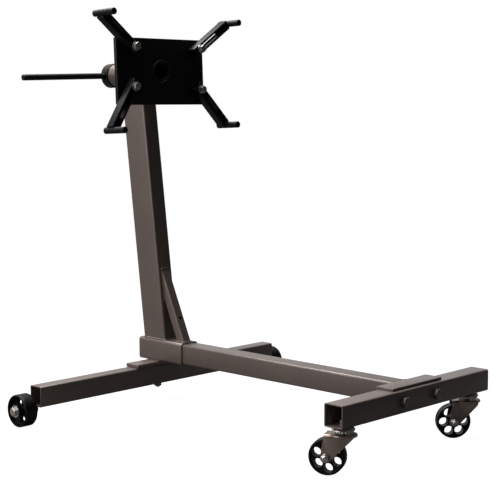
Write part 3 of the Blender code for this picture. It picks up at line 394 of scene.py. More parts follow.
def makeDustGroup():
    # dust that settles on what faces up, thicker in some places
    group, given, result = newGroup("settledDust", [("Amount", 0.3)], [("Mask", "NodeSocketFloat")])
    place = group.nodes.new("ShaderNodeTexCoord")
    shape = group.nodes.new("ShaderNodeNewGeometry")
    upward = group.nodes.new("ShaderNodeSeparateXYZ")
    group.links.new(shape.outputs["Normal"], upward.inputs[0])
    cloud = addNode(group, "ShaderNodeTexNoise", Scale=38.0, Detail=6.0, Roughness=0.65)
    group.links.new(place.outputs["Object"], cloud.inputs["Vector"])
    lying = spread(group, upward.outputs["Z"], 0.35, 0.95)
    patchy = spread(group, cloud.outputs["Fac"], 0.35, 0.75, 0.25, 1.0)
    mask = mathNode(group, "MULTIPLY", mathNode(group, "MULTIPLY", lying, patchy), given.outputs["Amount"], True)
    group.links.new(mask, result.inputs["Mask"])
    return group


def makeScuffGroup():
    # fine handling scratches, mostly in one direction
    group, given, result = newGroup(
        "handlingScuffs", [("Scale", 60.0), ("Stretch", 9.0)], [("Mask", "NodeSocketFloat")])
    place = group.nodes.new("ShaderNodeTexCoord")
    squeeze = group.nodes.new("ShaderNodeCombineXYZ")
    squeeze.inputs["X"].default_value = 1.0
    squeeze.inputs["Y"].default_value = 1.0
    group.links.new(given.outputs["Stretch"], squeeze.inputs["Z"])
    scaled = addNode(group, "ShaderNodeVectorMath", {"operation": "MULTIPLY"})
    group.links.new(place.outputs["Object"], scaled.inputs[0])
    group.links.new(squeeze.outputs[0], scaled.inputs[1])
    lines = addNode(group, "ShaderNodeTexNoise", Detail=8.0, Roughness=0.7, Distortion=0.4)
    group.links.new(scaled.outputs[0], lines.inputs["Vector"])
    group.links.new(given.outputs["Scale"], lines.inputs["Scale"])
    group.links.new(spread(group, lines.outputs["Fac"], 0.6, 0.74), result.inputs["Mask"])
    return group


skinGroup = makeSkinGroup()
dustGroup = makeDustGroup()
scuffGroup = makeScuffGroup()


# finishes

def useGroup(tree, group, **values):
    node = tree.nodes.new("ShaderNodeGroup")
    node.node_tree = group
    for key, value in values.items():
        node.inputs[key.replace("_", " ")].default_value = value
    return node


def blendColour(tree, factor, first, second):
    node = tree.nodes.new("ShaderNodeMix")
    node.data_type = "RGBA"
    tree.links.new(factor, node.inputs["Factor"])
    for socket, value in ((node.inputs["A"], first), (node.inputs["B"], second)):
        if isinstance(value, tuple):
            socket.default_value = (*value, 1.0)
        else:
            tree.links.new(value, socket)
    return node.outputs["Result"]


def sprayPaint(look):
    # paint over steel: two close shades, peel, specks, a little dust and scuffing
    material = bpy.data.materials.new(look["name"])
    material.use_nodes = True
    tree = material.node_tree
    shader = tree.nodes["Principled BSDF"]
    shader.inputs["Metallic"].default_value = look["metallic"]
    shader.inputs["Coat Weight"].default_value = look["coat"]
    shader.inputs["Coat Roughness"].default_value = look["coatRoughness"]
    shader.inputs["Specular IOR Level"].default_value = look["specular"]
    skin = useGroup(tree, skinGroup, Peel_Scale=look["peelScale"], Patch_Scale=look["patchScale"])
    dust = useGroup(tree, dustGroup, Amount=look["dust"])
    scuff = useGroup(tree, scuffGroup, Scale=look["scuffScale"])
    colour = blendColour(tree, skin.outputs["Patches"], look["shade"], look["colour"])
    flecks = mathNode(tree, "MULTIPLY", skin.outputs["Specks"], look["specks"], True)
    colour = blendColour(tree, flecks, colour, look["fleck"])
    worn = mathNode(tree, "MULTIPLY", scuff.outputs["Mask"], look["scuffs"], True)
    colour = blendColour(tree, worn, colour, look["scuffColour"])
    colour = blendColour(tree, dust.outputs["Mask"], colour, (0.36, 0.33, 0.30))
    tree.links.new(colour, shader.inputs["Base Color"])
    rough = spread(tree, skin.outputs["Patches"], 0.0, 1.0, look["roughness"] + 0.05, look["roughness"] - 0.04)
    rough = mathNode(tree, "ADD", rough, mathNode(tree, "MULTIPLY", dust.outputs["Mask"], 0.35), True)
    tree.links.new(rough, shader.inputs["Roughness"])
    bump = addNode(tree, "ShaderNodeBump", Strength=look["peel"], Distance=0.0004)
    tree.links.new(skin.outputs["Height"], bump.inputs["Height"])
    tree.links.new(bump.outputs["Normal"], shader.inputs["Normal"])
    return material


framePaint = sprayPaint({
    "name": "bronzeGreyPaint", "colour": (0.124, 0.092, 0.079), "shade": (0.101, 0.074, 0.064),
    "fleck": (0.24, 0.20, 0.18), "specks": 0.22, "scuffColour": (0.19, 0.165, 0.15), "scuffs": 0.10,
    "scuffScale": 42.0, "metallic": 0.35, "coat": 0.35, "coatRoughness": 0.28, "roughness": 0.42, "specular": 0.5,
    "peel": 0.16, "peelScale": 420.0, "patchScale": 7.0, "dust": 0.10})
headPaint = sprayPaint({
    "name": "blackGlossPaint", "colour": (0.0042, 0.0036, 0.0036), "shade": (0.0028, 0.0024, 0.0024),
    "fleck": (0.02, 0.017, 0.016), "specks": 0.10, "scuffColour": (0.03, 0.026, 0.025), "scuffs": 0.10,
    "scuffScale": 55.0, "metallic": 0.0, "coat": 0.08, "coatRoughness": 0.22, "roughness": 0.46, "specular": 0.16,
    "peel": 0.20, "peelScale": 480.0, "patchScale": 9.0, "dust": 0.05})


def bareMetal(look):
    # plated or polished steel: cloudy plating, fine brushing and a few dark spots
    material = bpy.data.materials.new(look["name"])
    material.use_nodes = True
    tree = material.node_tree
    shader = tree.nodes["Principled BSDF"]
    shader.inputs["Metallic"].default_value = 1.0
    skin = useGroup(tree, skinGroup, Peel_Scale=look["grainScale"], Patch_Scale=look["cloudScale"])
    scuff = useGroup(tree, scuffGroup, Scale=look["brushScale"], Stretch=14.0)
    colour = blendColour(tree, skin.outputs["Patches"], look["shade"], look["colour"])
    stain = mathNode(tree, "MULTIPLY", scuff.outputs["Mask"], look["stain"], True)
    colour = blendColour(tree, stain, colour, look["stainColour"])
    tree.links.new(colour, shader.inputs["Base Color"])
    low, high = look["roughness"]
    rough = spread(tree, skin.outputs["Patches"], 0.0, 1.0, high, low)
    rough = mathNode(tree, "ADD", rough, mathNode(tree, "MULTIPLY", scuff.outputs["Mask"], 0.12), True)
    tree.links.new(rough, shader.inputs["Roughness"])
    bump = addNode(tree, "ShaderNodeBump", Strength=look["bump"], Distance=0.0003)
    tree.links.new(skin.outputs["Height"], bump.inputs["Height"])
    tree.links.new(bump.outputs["Normal"], shader.inputs["Normal"])
    return material


brightZinc = bareMetal({
    "name": "brightZinc", "colour": (0.66, 0.63, 0.60), "shade": (0.50, 0.46, 0.43), "stain": 0.35,
    "stainColour": (0.25, 0.21, 0.18), "roughness": (0.20, 0.36), "grainScale": 900.0, "cloudScale": 90.0,
    "brushScale": 160.0, "bump": 0.12})
# the same zinc as brightZinc, darkened in its base colour: painted shade for bolts facing the dim +X side, and rougher
# too
zincDarkenedForShade = bareMetal({
    "name": "zincDarkenedForShade", "colour": (0.26, 0.215, 0.19), "shade": (0.17, 0.14, 0.125), "stain": 0.4,
    "stainColour": (0.08, 0.065, 0.055), "roughness": (0.36, 0.50), "grainScale": 700.0, "cloudScale": 80.0,
    "brushScale": 150.0, "bump": 0.18})
pressedSteel = bareMetal({
    "name": "pressedSteel", "colour": (0.36, 0.29, 0.25), "shade": (0.24, 0.19, 0.165), "stain": 0.35,
    "stainColour": (0.13, 0.10, 0.085), "roughness": (0.30, 0.44), "grainScale": 380.0, "cloudScale": 45.0,
    "brushScale": 70.0, "bump": 0.22})
polishedSteel = bareMetal({
    "name": "polishedSteel", "colour": (0.78, 0.76, 0.74), "shade": (0.62, 0.60, 0.58), "stain": 0.2,
    "stainColour": (0.30, 0.27, 0.25), "roughness": (0.12, 0.22), "grainScale": 1200.0, "cloudScale": 120.0,
    "brushScale": 200.0, "bump": 0.06})


def mouldedPlastic(look):
    # moulded wheel: faint flow marks, fine grain, and dust and scuffs on the tread
    material = bpy.data.materials.new(look["name"])
    material.use_nodes = True
    tree = material.node_tree
    shader = tree.nodes["Principled BSDF"]
    skin = useGroup(tree, skinGroup, Peel_Scale=look["grainScale"], Patch_Scale=look["patchScale"])
    scuff = useGroup(tree, scuffGroup, Scale=look["scuffScale"], Stretch=3.0)
    colour = blendColour(tree, skin.outputs["Patches"], look["shade"], look["colour"])
    worn = mathNode(tree, "MULTIPLY", scuff.outputs["Mask"], look["scuffs"], True)
    colour = blendColour(tree, worn, colour, look["scuffColour"])
    tree.links.new(colour, shader.inputs["Base Color"])
    shader.inputs["Specular IOR Level"].default_value = look["specular"]
    low, high = look["roughness"]
    rough = spread(tree, skin.outputs["Patches"], 0.0, 1.0, high, low)
    rough = mathNode(tree, "ADD", rough, mathNode(tree, "MULTIPLY", worn, 0.5), True)
    tree.links.new(rough, shader.inputs["Roughness"])
    bump = addNode(tree, "ShaderNodeBump", Strength=look["grain"], Distance=0.0003)
    tree.links.new(skin.outputs["Height"], bump.inputs["Height"])
    tree.links.new(bump.outputs["Normal"], shader.inputs["Normal"])
    return material


wheelPlastic = mouldedPlastic({
    "name": "blackMouldedPlastic", "colour": (0.0026, 0.0024, 0.0024), "shade": (0.0018, 0.0017, 0.0017),
    "scuffColour": (0.03, 0.027, 0.025), "scuffs": 0.14, "scuffScale": 50.0, "roughness": (0.34, 0.46),
    "specular": 0.18,
    "grain": 0.10, "grainScale": 650.0, "patchScale": 30.0})
print("finishes made")


# camera, light and floor

def setTheStage():
    low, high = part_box("rear_crossmember")
    middle = (low + high) / 2
    view = {"place": (2.5879, -2.3267, 0.7780), "azimuth": 44.134, "drop": 6.256, "roll": -0.2193, "lens": 95.70}
    azimuth, drop, roll = (math.radians(view[key]) for key in ("azimuth", "drop", "roll"))
    right = Vector((math.cos(azimuth), math.sin(azimuth), 0))
    forward = Vector((-math.sin(azimuth) * math.cos(drop), math.cos(azimuth) * math.cos(drop), -math.sin(drop)))
    up = right.cross(forward)
    across = math.cos(roll) * right + math.sin(roll) * up
    upright = -math.sin(roll) * right + math.cos(roll) * up
    bpy.ops.object.camera_add(location=(middle.x + view["place"][0], view["place"][1], view["place"][2]))
    camera = bpy.context.object
    camera.rotation_euler = Matrix((across, upright, -forward)).transposed().to_euler()
    camera.data.sensor_fit = "HORIZONTAL"
    camera.data.sensor_width = 36
    camera.data.lens = view["lens"]
    camera.data.dof.use_dof = False
    bpy.context.scene.camera = camera

    bpy.context.scene.view_settings.view_transform = "Standard"
    makeStudioAir()
    lamps = (
        ("overhead", (-1.0, -0.3, 2.8), (-0.1, 0.0, 0.0), 2.0, 150.0),
        ("keySide", (-0.9, -3.0, 1.3), (0.0, 0.0, 0.35), 1.7, 42.0))
    for name, place, target, size, power in lamps:
        bpy.ops.object.light_add(type="AREA", location=place)
        lamp = bpy.context.object
        lamp.name = name
        lamp.data.size = size
        lamp.data.energy = power
        lamp.rotation_euler = (Vector(target) - Vector(place)).to_track_quat("-Z", "Y").to_euler()

    bpy.ops.mesh.primitive_plane_add(size=60, location=(0, 0, cadBounds[0][2] - 0.0005))
    floor = bpy.context.object
    floor.name = "studioFloor"
    floor.data.materials.append(makePalePaper())


def makeStudioAir():
    # white to the eye; as light it is bright behind and to the left, and dim towards +X
    world = bpy.data.worlds.new("studio")
    bpy.context.scene.world = world
    world.use_nodes = True
    tree = world.node_tree
    light = tree.nodes["Background"]
    seen = addNode(tree, "ShaderNodeBackground", Strength=1.0)
    seen.inputs["Color"].default_value = (1, 1, 1, 1)
    place = tree.nodes.new("ShaderNodeTexCoord")
    away = addNode(tree, "ShaderNodeVectorMath", {"operation": "DOT_PRODUCT"})
    away.inputs[1].default_value = (-0.93, -0.10, 0.35)
    tree.links.new(place.outputs["Generated"], away.inputs[0])
    bright = spread(tree, away.outputs["Value"], -0.35, 0.45, 0.05, 1.0)
    light.inputs["Color"].default_value = (0.97, 0.98, 1.0, 1)
    tree.links.new(mathNode(tree, "MULTIPLY", bright, 0.60), light.inputs["Strength"])
    ray = tree.nodes.new("ShaderNodeLightPath")
    choose = tree.nodes.new("ShaderNodeMixShader")
    tree.links.new(ray.outputs["Is Camera Ray"], choose.inputs[0])
    tree.links.new(light.outputs[0], choose.inputs[1])
    tree.links.new(seen.outputs[0], choose.inputs[2])
    tree.links.new(choose.outputs[0], tree.nodes["World Output"].inputs["Surface"])


def makePalePaper():
    # near white, with soft contact shadows; it throws little light back at the stand
    paper = bpy.data.materials.new("palePaper")
    paper.use_nodes = True
    tree = paper.node_tree
    shader = tree.nodes["Principled BSDF"]
    shader.inputs["Base Color"].default_value = (0.10, 0.10, 0.10, 1)
    shader.inputs["Roughness"].default_value = 0.9
    shader.inputs["Specular IOR Level"].default_value = 0.1
    shader.inputs["Emission Color"].default_value = (1, 1, 1, 1)
    ray = tree.nodes.new("ShaderNodeLightPath")
    shown = mathNode(tree, "MULTIPLY", ray.outputs["Is Camera Ray"], 0.95)
    tree.links.new(shown, shader.inputs["Emission Strength"])
    return paper


setTheStage()
print("camera, light and floor set")


# fasteners: a hex head or nut, a washer, a threaded end

def hexPiece(name, flats, low, high, chamfered=(False, True)):
    # hexagonal prism with the corners turned off at one or both ends
    deselect()
    corner = flats / math.sqrt(3)
    bpy.ops.mesh.primitive_cylinder_add(vertices=6, radius=corner, depth=high - low, location=(0, 0, (low + high) / 2))
    piece = bpy.context.object
    piece.name = piece.data.name = name
    bpy.ops.object.transform_apply(location=True, rotation=True, scale=True)
    dip = (corner - flats / 2 * 0.94) * math.tan(math.radians(30))
    profile = [(0, low), (flats / 2 * 0.94, low), (corner * 1.01, low + dip)] if chamfered[0] else [(0, low), (corner * 1.01, low)]
    profile += [(corner * 1.01, high - dip), (flats / 2 * 0.94, high), (0, high)] if chamfered[1] else [(corner * 1.01, high), (0, high)]
    carve(piece, lathe("turnedBlank", profile, 48, closed=False), "INTERSECT")
    softenEdges(piece, 0.00018, 1, 25)
    smooth(piece, 24)
    return piece


def washerPiece(name, outer, inner, low, high):
    piece = roundPipe(name, outer, inner, low, high, 0.00035, 48)
    smooth(piece)
    return piece


def threadedEnd(name, radius, low, high, pitch, tip):
    # a cylinder of many rings, whose skin is moved in and out along a helix
    steps, perPitch = 28, 5
    rings = max(4, round((high - low) / pitch * perPitch))
    deselect()
    bpy.ops.mesh.primitive_cylinder_add(vertices=steps, radius=radius, depth=high - low, location=(0, 0, (low + high) / 2))
    piece = bpy.context.object
    piece.name = piece.data.name = name
    bpy.ops.object.transform_apply(location=True, rotation=True, scale=True)
    pick(piece, "EDGE", edgeAlong((0, 0, 1)))
    bpy.ops.mesh.subdivide_edgering(number_cuts=rings, interpolation="LINEAR", smoothness=0)
    bpy.ops.object.mode_set(mode="OBJECT")
    depth = pitch * 0.5
    for vertex in piece.data.vertices:
        x, y, z = vertex.co
        turn = (z / pitch - math.atan2(y, x) / (2 * math.pi)) % 1.0
        cut = depth * abs(2 * turn - 1)
        nearTip = min(abs(z - low) if tip < 0 else abs(high - z), pitch)
        reach = radius - cut - (pitch - nearTip) * 0.7
        scale = max(reach, radius * 0.6) / radius
        vertex.co.x, vertex.co.y = x * scale, y * scale
    smooth(piece, 50)
    return piece


def boltStack(name, radius, parts, threads=()):
    # parts: (kind, size, low, high); one joined fastener along Z
    made = []
    for index, (kind, size, low, high) in enumerate(parts):
        label = f"{name}{kind}{index}"
        if kind == "head":
            piece = hexPiece(label, size, low, high, (False, True))
        elif kind == "headDown":
            piece = hexPiece(label, size, low, high, (True, False))
        elif kind == "nut":
            piece = hexPiece(label, size, low, high, (True, True))
        elif kind == "washer":
            piece = washerPiece(label, size, radius + 0.0002, low, high)
        else:
            piece = roundBar(label, size, low, high, 0.0004, 32)
            smooth(piece)
        made.append(piece)
    for low, high, pitch, tip in threads:
        made.append(threadedEnd(f"{name}Thread", radius, low, high, pitch, tip))
    return join(name, *made)


# base: the two cross tubes, the leg and its socket

def makeBase():
    low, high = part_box("rear_crossmember")
    spec = {"width": high.x - low.x, "height": high.z - low.z, "wall": 0.003, "corner": 0.0042}
    middle = (low + high) / 2
    half = (high.y - low.y) / 2
    along = frameFrom(middle, (-1, 0, 0), (0, 1, 0))
    tube = squareTube("rearCrossmember", spec, -half, half, along)
    softenEdges(tube, 0.0004, 2, 60)
    smooth(tube)
    dress(tube, framePaint, "stand", "rear_crossmember", slot="frame_paint")

    low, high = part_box("front_crossmember")
    spec = {"width": high.x - low.x, "height": high.z - low.z, "wall": 0.003, "corner": 0.0046}
    middle = (low + high) / 2
    half = (high.y - low.y) / 2
    along = frameFrom(middle, (-1, 0, 0), (0, 1, 0))
    tube = squareTube("frontCrossmember", spec, -half, half, along)
    softenEdges(tube, 0.0004, 2, 60)
    for side, sign in sides:
        bolt = Vector(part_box(f"bracket_bolt_{side}")[0]).lerp(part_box(f"bracket_bolt_{side}")[1], 0.5)
        drill(tube, 0.0074, -0.04, 0.04, frameFrom((middle.x, bolt.y, bolt.z), (0, 1, 0), (1, 0, 0)))
    smooth(tube)
    dress(tube, framePaint, "stand", "front_crossmember", slot="frame_paint")

    for name, node, wall, corner in (("mainLeg", "main_leg", 0.003, 0.0046), ("legSocket", "leg_socket", 0.0033, 0.0075)):
        low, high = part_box(node)
        spec = {"width": high.y - low.y, "height": high.z - low.z, "wall": wall, "corner": corner}
        middle = (low + high) / 2
        half = (high.x - low.x) / 2
        along = frameFrom(middle, (0, 1, 0), (1, 0, 0))
        tube = squareTube(name, spec, -half, half, along)
        softenEdges(tube, 0.0004, 2, 60)
        smooth(tube)
        dress(tube, framePaint, "stand", node, slot="frame_paint")

    low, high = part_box("mount_plate")
    plate = block("mountPlate", high - low, (low + high) / 2)
    pick(plate, "EDGE", edgeAlong((0, 0, 1)))
    bpy.ops.mesh.bevel(offset=0.003, segments=4, affect="EDGES")
    bpy.ops.object.mode_set(mode="OBJECT")
    softenEdges(plate, 0.0006, 2, 60)
    smooth(plate)
    dress(plate, framePaint, "stand", "mount_plate", slot="frame_paint")

    low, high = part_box("base_bolt")
    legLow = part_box("main_leg")[0].z
    seat = legLow + 0.003 + gap
    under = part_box("rear_crossmember")[0].z - gap
    bolt = boltStack("baseBolt", 0.006, (
        ("washer", 0.0108, under - 0.003, under), ("nut", 0.018, under - 0.011, under - 0.003),
        ("shank", 0.0058, under - 0.010, seat + 0.001), ("head", 0.018, seat, seat + 0.010)),
        ((under - 0.014, under - 0.010, 0.00175, -1),))
    centre = (low + high) / 2
    putAt(bolt, Matrix.Translation((centre.x, centre.y, 0)))
    # zinc whose darker base colour is painted shade
    dress(bolt, zincDarkenedForShade, "stand", "base_bolt", slot="zinc")


makeBase()
print("base tubes made")


# angle bracket at the leg's end, and its two bolts

def makeBracket():
    low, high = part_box("front_bracket")
    thick, root, outside = 0.006, 0.005, 0.004
    depth, height = high.x - low.x, high.z - low.z
    outline = [(0, 0), (thick, 0)]
    outline += arc(thick + root, height - thick - root, root, 180, 90, 5)
    outline += [(depth, height - thick), (depth, height)]
    outline += arc(outside, height - outside, outside, 90, 180, 6)
    bracket = plateFrom("frontBracket", outline, -high.y, -low.y)
    softenEdges(bracket, 0.0005, 2, 50)
    putAt(bracket, frameFrom((low.x, 0, low.z), (1, 0, 0), (0, -1, 0)))
    smooth(bracket)
    dress(bracket, framePaint, "stand", "front_bracket", slot="frame_paint")

    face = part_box("front_crossmember")[1].x + gap
    back = low.x - gap
    for side, sign in sides:
        low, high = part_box(f"bracket_bolt_{side}")
        bolt = boltStack(f"bracketBolt{side.title()}", 0.007, (
            ("washer", 0.0135, face, face + 0.002), ("head", 0.022, face + 0.002, high.x),
            ("washer", 0.0135, back - 0.002, back), ("nut", 0.022, back - 0.012, back - 0.002),
            ("shank", 0.0068, back - 0.011, face + 0.003)),
            ((back - 0.016, back - 0.011, 0.002, -1),))
        putAt(bolt, frameFrom((0, (low.y + high.y) / 2, (low.z + high.z) / 2), (0, 0, 1), (1, 0, 0)))
        # zinc whose darker base colour is painted shade for heads facing +X
        dress(bolt, zincDarkenedForShade, "stand", f"bracket_bolt_{side}", slot="zinc")


makeBracket()
print("front bracket made")


# wheels

wheelSpec = {"radius": 0.040, "rim": 0.0045, "hub": 0.0125, "bore": 0.0087, "holes": 6, "holeRadius": 0.0103,
             "holeCircle": 0.0240, "edge": 0.0042}
wheelKinds = {  # width of the tread, thickness of the web, half the hub's length
    "rear_wheel": {"width": 0.035, "web": 0.010, "hub": 0.0195},
    "caster_wheel": {"width": 0.028, "web": 0.022, "hub": 0.0160}}
wheelPhases = {"rear_wheel_right": 14, "rear_wheel_left": 30, "caster_wheel_right": 22, "caster_wheel_left": 58}


def makeWheelBlank(kind):
    spec, sizes = wheelSpec, wheelKinds[kind]
    half, web, hub = sizes["width"] / 2, sizes["web"] / 2, sizes["hub"]
    rim = spec["radius"] - spec["rim"]
    upper = [(spec["bore"], hub), (spec["hub"] - 0.0006, hub), (spec["hub"], hub - 0.0006)]
    upper += arc(spec["hub"] + 0.001, web + 0.001, 0.001, 180, 270, 3)
    upper += arc(rim - 0.001, web + 0.001, 0.001, 270, 360, 3)
    upper += [(rim, half - 0.0006), (rim + 0.0006, half)]
    upper += arc(spec["radius"] - spec["edge"], half - spec["edge"], spec["edge"], 90, 8, 7)
    upper += [(spec["radius"], half * 0.45)]
    profile = upper + [(radius, -height) for radius, height in reversed(upper)]
    wheel = lathe("wheelBlank", profile, 96)
    for hole in range(spec["holes"]):
        angle = 2 * math.pi * hole / spec["holes"]
        centre = (spec["holeCircle"] * math.cos(angle), spec["holeCircle"] * math.sin(angle), 0)
        bore, flare = spec["holeRadius"], spec["holeRadius"] + 0.0006
        cutter = lathe("holeCutter", [
            (0, -0.03), (flare, -0.03), (flare, -web), (bore, -web + 0.0006),
            (bore, web - 0.0006), (flare, web), (flare, 0.03), (0, 0.03)], 40, False)
        putAt(cutter, Matrix.Translation(centre))
        carve(wheel, cutter)
    smooth(wheel, 40)
    return wheel


def makeWheels():
    for kind, sizes in wheelKinds.items():
        blank = makeWheelBlank(kind)
        bush = roundPipe("bushBlank", 0.0085, 0.0065, -sizes["hub"], sizes["hub"], 0.0004, 48)
        smooth(bush)
        for side, sign in sides:
            joint = joints[f"{kind}_{side}_roll"]
            there = frameFrom(joint["pos_m"], Vector((0, 0, 1)).cross(Vector(joint["axis"])), joint["axis"])
            turned = there @ Matrix.Rotation(math.radians(wheelPhases[f"{kind}_{side}"]), 4, "Z")
            label = kind.split("_")[0] + "Wheel" + side.title()
            wheel = copyOf(blank, label)
            putAt(wheel, turned)
            dress(wheel, wheelPlastic, f"{kind}_{side}", f"{kind}_{side}", slot="wheel")
            sleeve = copyOf(bush, label + "Bush")
            putAt(sleeve, there)
            node = f"{kind.split('_')[0]}_bush_{side}"
            dress(sleeve, polishedSteel, f"{kind}_{side}", node, slot="bearing_steel")
        bpy.data.objects.remove(blank, do_unlink=True)
        bpy.data.objects.remove(bush, do_unlink=True)


makeWheels()
print("wheels made")


# rear axles and the bosses that they screw into

def makeRearAxles():
    spec = {"radius": 0.006, "washer": 0.015, "washerThickness": 0.0025, "head": 0.019, "jam": 0.017}
    for side, sign in sides:
        low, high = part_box(f"axle_boss_{side}")
        tubeLow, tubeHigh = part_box("rear_crossmember")
        place = Vector(joints[f"rear_wheel_{side}_roll"]["pos_m"])
        tubeBack, under = tubeLow.x - gap, tubeLow.z - gap
        round_ = 0.0145
        outline = [(tubeBack, under), (tubeBack, high.z - 0.001), (tubeBack - 0.001, high.z)]
        outline += [(low.x + 0.003, high.z), (low.x, high.z - 0.003)]
        outline += arc(place.x, place.z, round_, 188, 372, 18)
        outline += [(place.x + round_, under)]
        boss = plateFrom(f"axleBoss{side.title()}", outline, -(high.y - low.y) / 2, (high.y - low.y) / 2)
        softenEdges(boss, 0.0006, 2, 40)
        putAt(boss, frameFrom((0, (low.y + high.y) / 2, 0), (1, 0, 0), (0, -1, 0)))
        smooth(boss)
        dress(boss, framePaint, "stand", f"axle_boss_{side}", slot="frame_paint")

        low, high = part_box(f"rear_axle_{side}")
        reach = max(abs(low.y), abs(high.y))
        tubeEnd = abs(tubeLow.y)
        face = reach - 0.008
        axle = boltStack(f"rearAxle{side.title()}", spec["radius"], (
            ("nut", spec["jam"], tubeEnd + gap, tubeEnd + gap + 0.0065),
            ("shank", spec["radius"] - 0.0001, tubeEnd - 0.009, face),
            ("washer", spec["washer"], face - spec["washerThickness"], face),
            ("head", spec["head"], face, reach)))
        putAt(axle, frameFrom((place.x, 0, place.z), (1, 0, 0), (0, sign, 0)))
        dress(axle, brightZinc, "stand", f"rear_axle_{side}", slot="zinc")


makeRearAxles()
print("rear axles made")


# swivel casters

casterSpec = {"topThickness": 0.0035, "legThickness": 0.003, "inner": 0.0172, "front": 0.024, "rear": 0.038,
              "rimRadius": 0.0300, "axleRound": 0.0120, "shoulder": 0.005}


def makeFork(name, top, trail, axleHeight):
    spec = casterSpec
    outer = spec["inner"] + spec["legThickness"]
    reach = trail + spec["axleRound"] + 0.01
    shell = block(name, (reach + 0.06, 2 * outer, top + 0.02), ((0.06 - reach) / 2, 0, (top - 0.02) / 2))
    pick(shell, "EDGE", lambda edge: edgeAlong((1, 0, 0))(edge) and edge.verts[0].co.z > 0)
    bpy.ops.mesh.bevel(offset=spec["shoulder"], segments=6, affect="EDGES")
    pick(shell, "FACE", lambda face: abs(face.normal.x) > 0.95 or face.normal.z < -0.95)
    bpy.ops.mesh.delete(type="FACE")
    bpy.ops.object.mode_set(mode="OBJECT")
    skin = shell.modifiers.new("sheet", "SOLIDIFY")
    skin.thickness = spec["legThickness"]
    skin.offset = -1
    applyModifier(shell, skin)
    fixNormals(shell)
    outline = [(spec["front"], top + 0.01), (-spec["rear"], top + 0.01), (-spec["rear"] - 0.0005, top - 0.010)]
    outline += arc(-trail, axleHeight, spec["axleRound"], 180, 318, 18)
    outline += [(spec["front"] - 0.003, top - 0.011)]
    side = plateFrom("forkOutline", outline, -0.05, 0.05)
    putAt(side, frameFrom((0, 0, 0), (1, 0, 0), (0, -1, 0)))
    carve(shell, side, "INTERSECT")
    rim = spec["rimRadius"]
    dish = lathe("forkDish", [(0, top - 0.0034), (rim - 0.004, top - 0.0034), (rim - 0.0012, top - 0.0052), (rim, top - 0.0046),
                              (rim, top - 0.0014), (rim - 0.0008, top - 0.0006), (rim - 0.005, top), (0, top)], 72, False)
    carve(shell, dish, "UNION")
    drill(shell, 0.0063, top - 0.02, top + 0.02, Matrix.Identity(4), 40)
    drill(shell, 0.0064, -0.05, 0.05, frameFrom((-trail, 0, axleHeight), (1, 0, 0), (0, 1, 0)), 40)
    softenEdges(shell, 0.00045, 2, 40)
    smooth(shell, 35)
    return shell


def makeCasters():
    for side, sign in sides:
        label = side.title()
        pivot = Vector(joints[f"caster_{side}_swivel"]["pos_m"])
        wheel = Vector(joints[f"caster_wheel_{side}_roll"]["pos_m"])
        back = Vector((wheel.x - pivot.x, wheel.y - pivot.y, 0))
        trail = back.length
        turned = frameFrom((pivot.x, pivot.y, 0), -back, (0, 0, 1))
        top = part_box(f"caster_fork_{side}")[1].z
        fork = makeFork(f"casterFork{label}", top, trail, wheel.z)
        putAt(fork, turned)
        dress(fork, pressedSteel, f"caster_{side}", f"caster_fork_{side}", slot="fork_steel")

        face = casterSpec["inner"] + casterSpec["legThickness"] + gap
        axle = boltStack(f"casterAxle{label}", 0.006, (
            ("headDown", 0.015, -face - 0.006, -face), ("washer", 0.0085, face, face + 0.0012),
            ("nut", 0.015, face + 0.0012, face + 0.008), ("shank", 0.0058, -face, face + 0.008)),
            ((face + 0.0075, face + 0.012, 0.00175, 1),))
        putAt(axle, turned @ frameFrom((-trail, 0, wheel.z), (1, 0, 0), (0, -1, 0)))
        dress(axle, brightZinc, f"caster_{side}", f"caster_axle_{side}", slot="zinc")

        low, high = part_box(f"caster_race_{side}")
        raceRadius = (high.x - low.x) / 2
        profile = [(0.0062, high.z - 0.0054), (0.0062, high.z)]
        profile += [(raceRadius - 0.0062, high.z), (raceRadius - 0.0046, high.z - 0.0008), (raceRadius - 0.0012, high.z - 0.0042)]
        profile += arc(raceRadius - 0.0014, low.z + 0.0016, 0.0014, 60, -60, 6)
        profile += [(raceRadius - 0.0028, low.z), (raceRadius - 0.0036, low.z + 0.003)]
        race = lathe(f"casterRace{label}", profile, 72)
        putAt(race, Matrix.Translation((pivot.x, pivot.y, 0)))
        smooth(race, 40)
        dress(race, polishedSteel, "stand", f"caster_race_{side}", slot="bearing_steel")

        ringLow, ringHigh = (corner.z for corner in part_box(f"caster_ball_ring_{side}"))
        ballRadius = min(0.0029, (ringHigh - ringLow) / 2)
        count = 20
        balls = []
        for index in range(count):
            deselect()
            angle = 2 * math.pi * index / count
            place = (0.0195 * math.cos(angle), 0.0195 * math.sin(angle), (ringLow + ringHigh) / 2)
            bpy.ops.mesh.primitive_uv_sphere_add(segments=14, ring_count=8, radius=ballRadius, location=place)
            balls.append(bpy.context.object)
        cage = roundPipe("ballCage", 0.0205, 0.0185, (ringLow + ringHigh) / 2 - 0.0006, (ringLow + ringHigh) / 2 + 0.0006, 0.0002, 60)
        balls.append(cage)
        row = join(f"casterBalls{label}", *balls)
        putAt(row, Matrix.Translation((pivot.x, pivot.y, 0)))
        smooth(row, 60)
        dress(row, polishedSteel, "stand", f"caster_ball_ring_{side}", slot="bearing_steel")

        under = top - 0.0034 - gap
        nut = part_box("front_crossmember")[0].z + 0.003 + gap
        king = boltStack(f"casterKingBolt{label}", 0.0058, (
            ("headDown", 0.018, under - 0.006, under), ("shank", 0.0056, under - 0.001, nut + 0.009),
            ("washer", 0.0115, nut, nut + 0.0016), ("nut", 0.018, nut + 0.0016, nut + 0.0105)),
            ((nut + 0.009, nut + 0.0145, 0.00175, 1),))
        putAt(king, Matrix.Translation((pivot.x, pivot.y, 0)))
        dress(king, brightZinc, "stand", f"caster_king_bolt_{side}", slot="zinc")


makeCasters()
print("casters made")


# leaning post and its brace

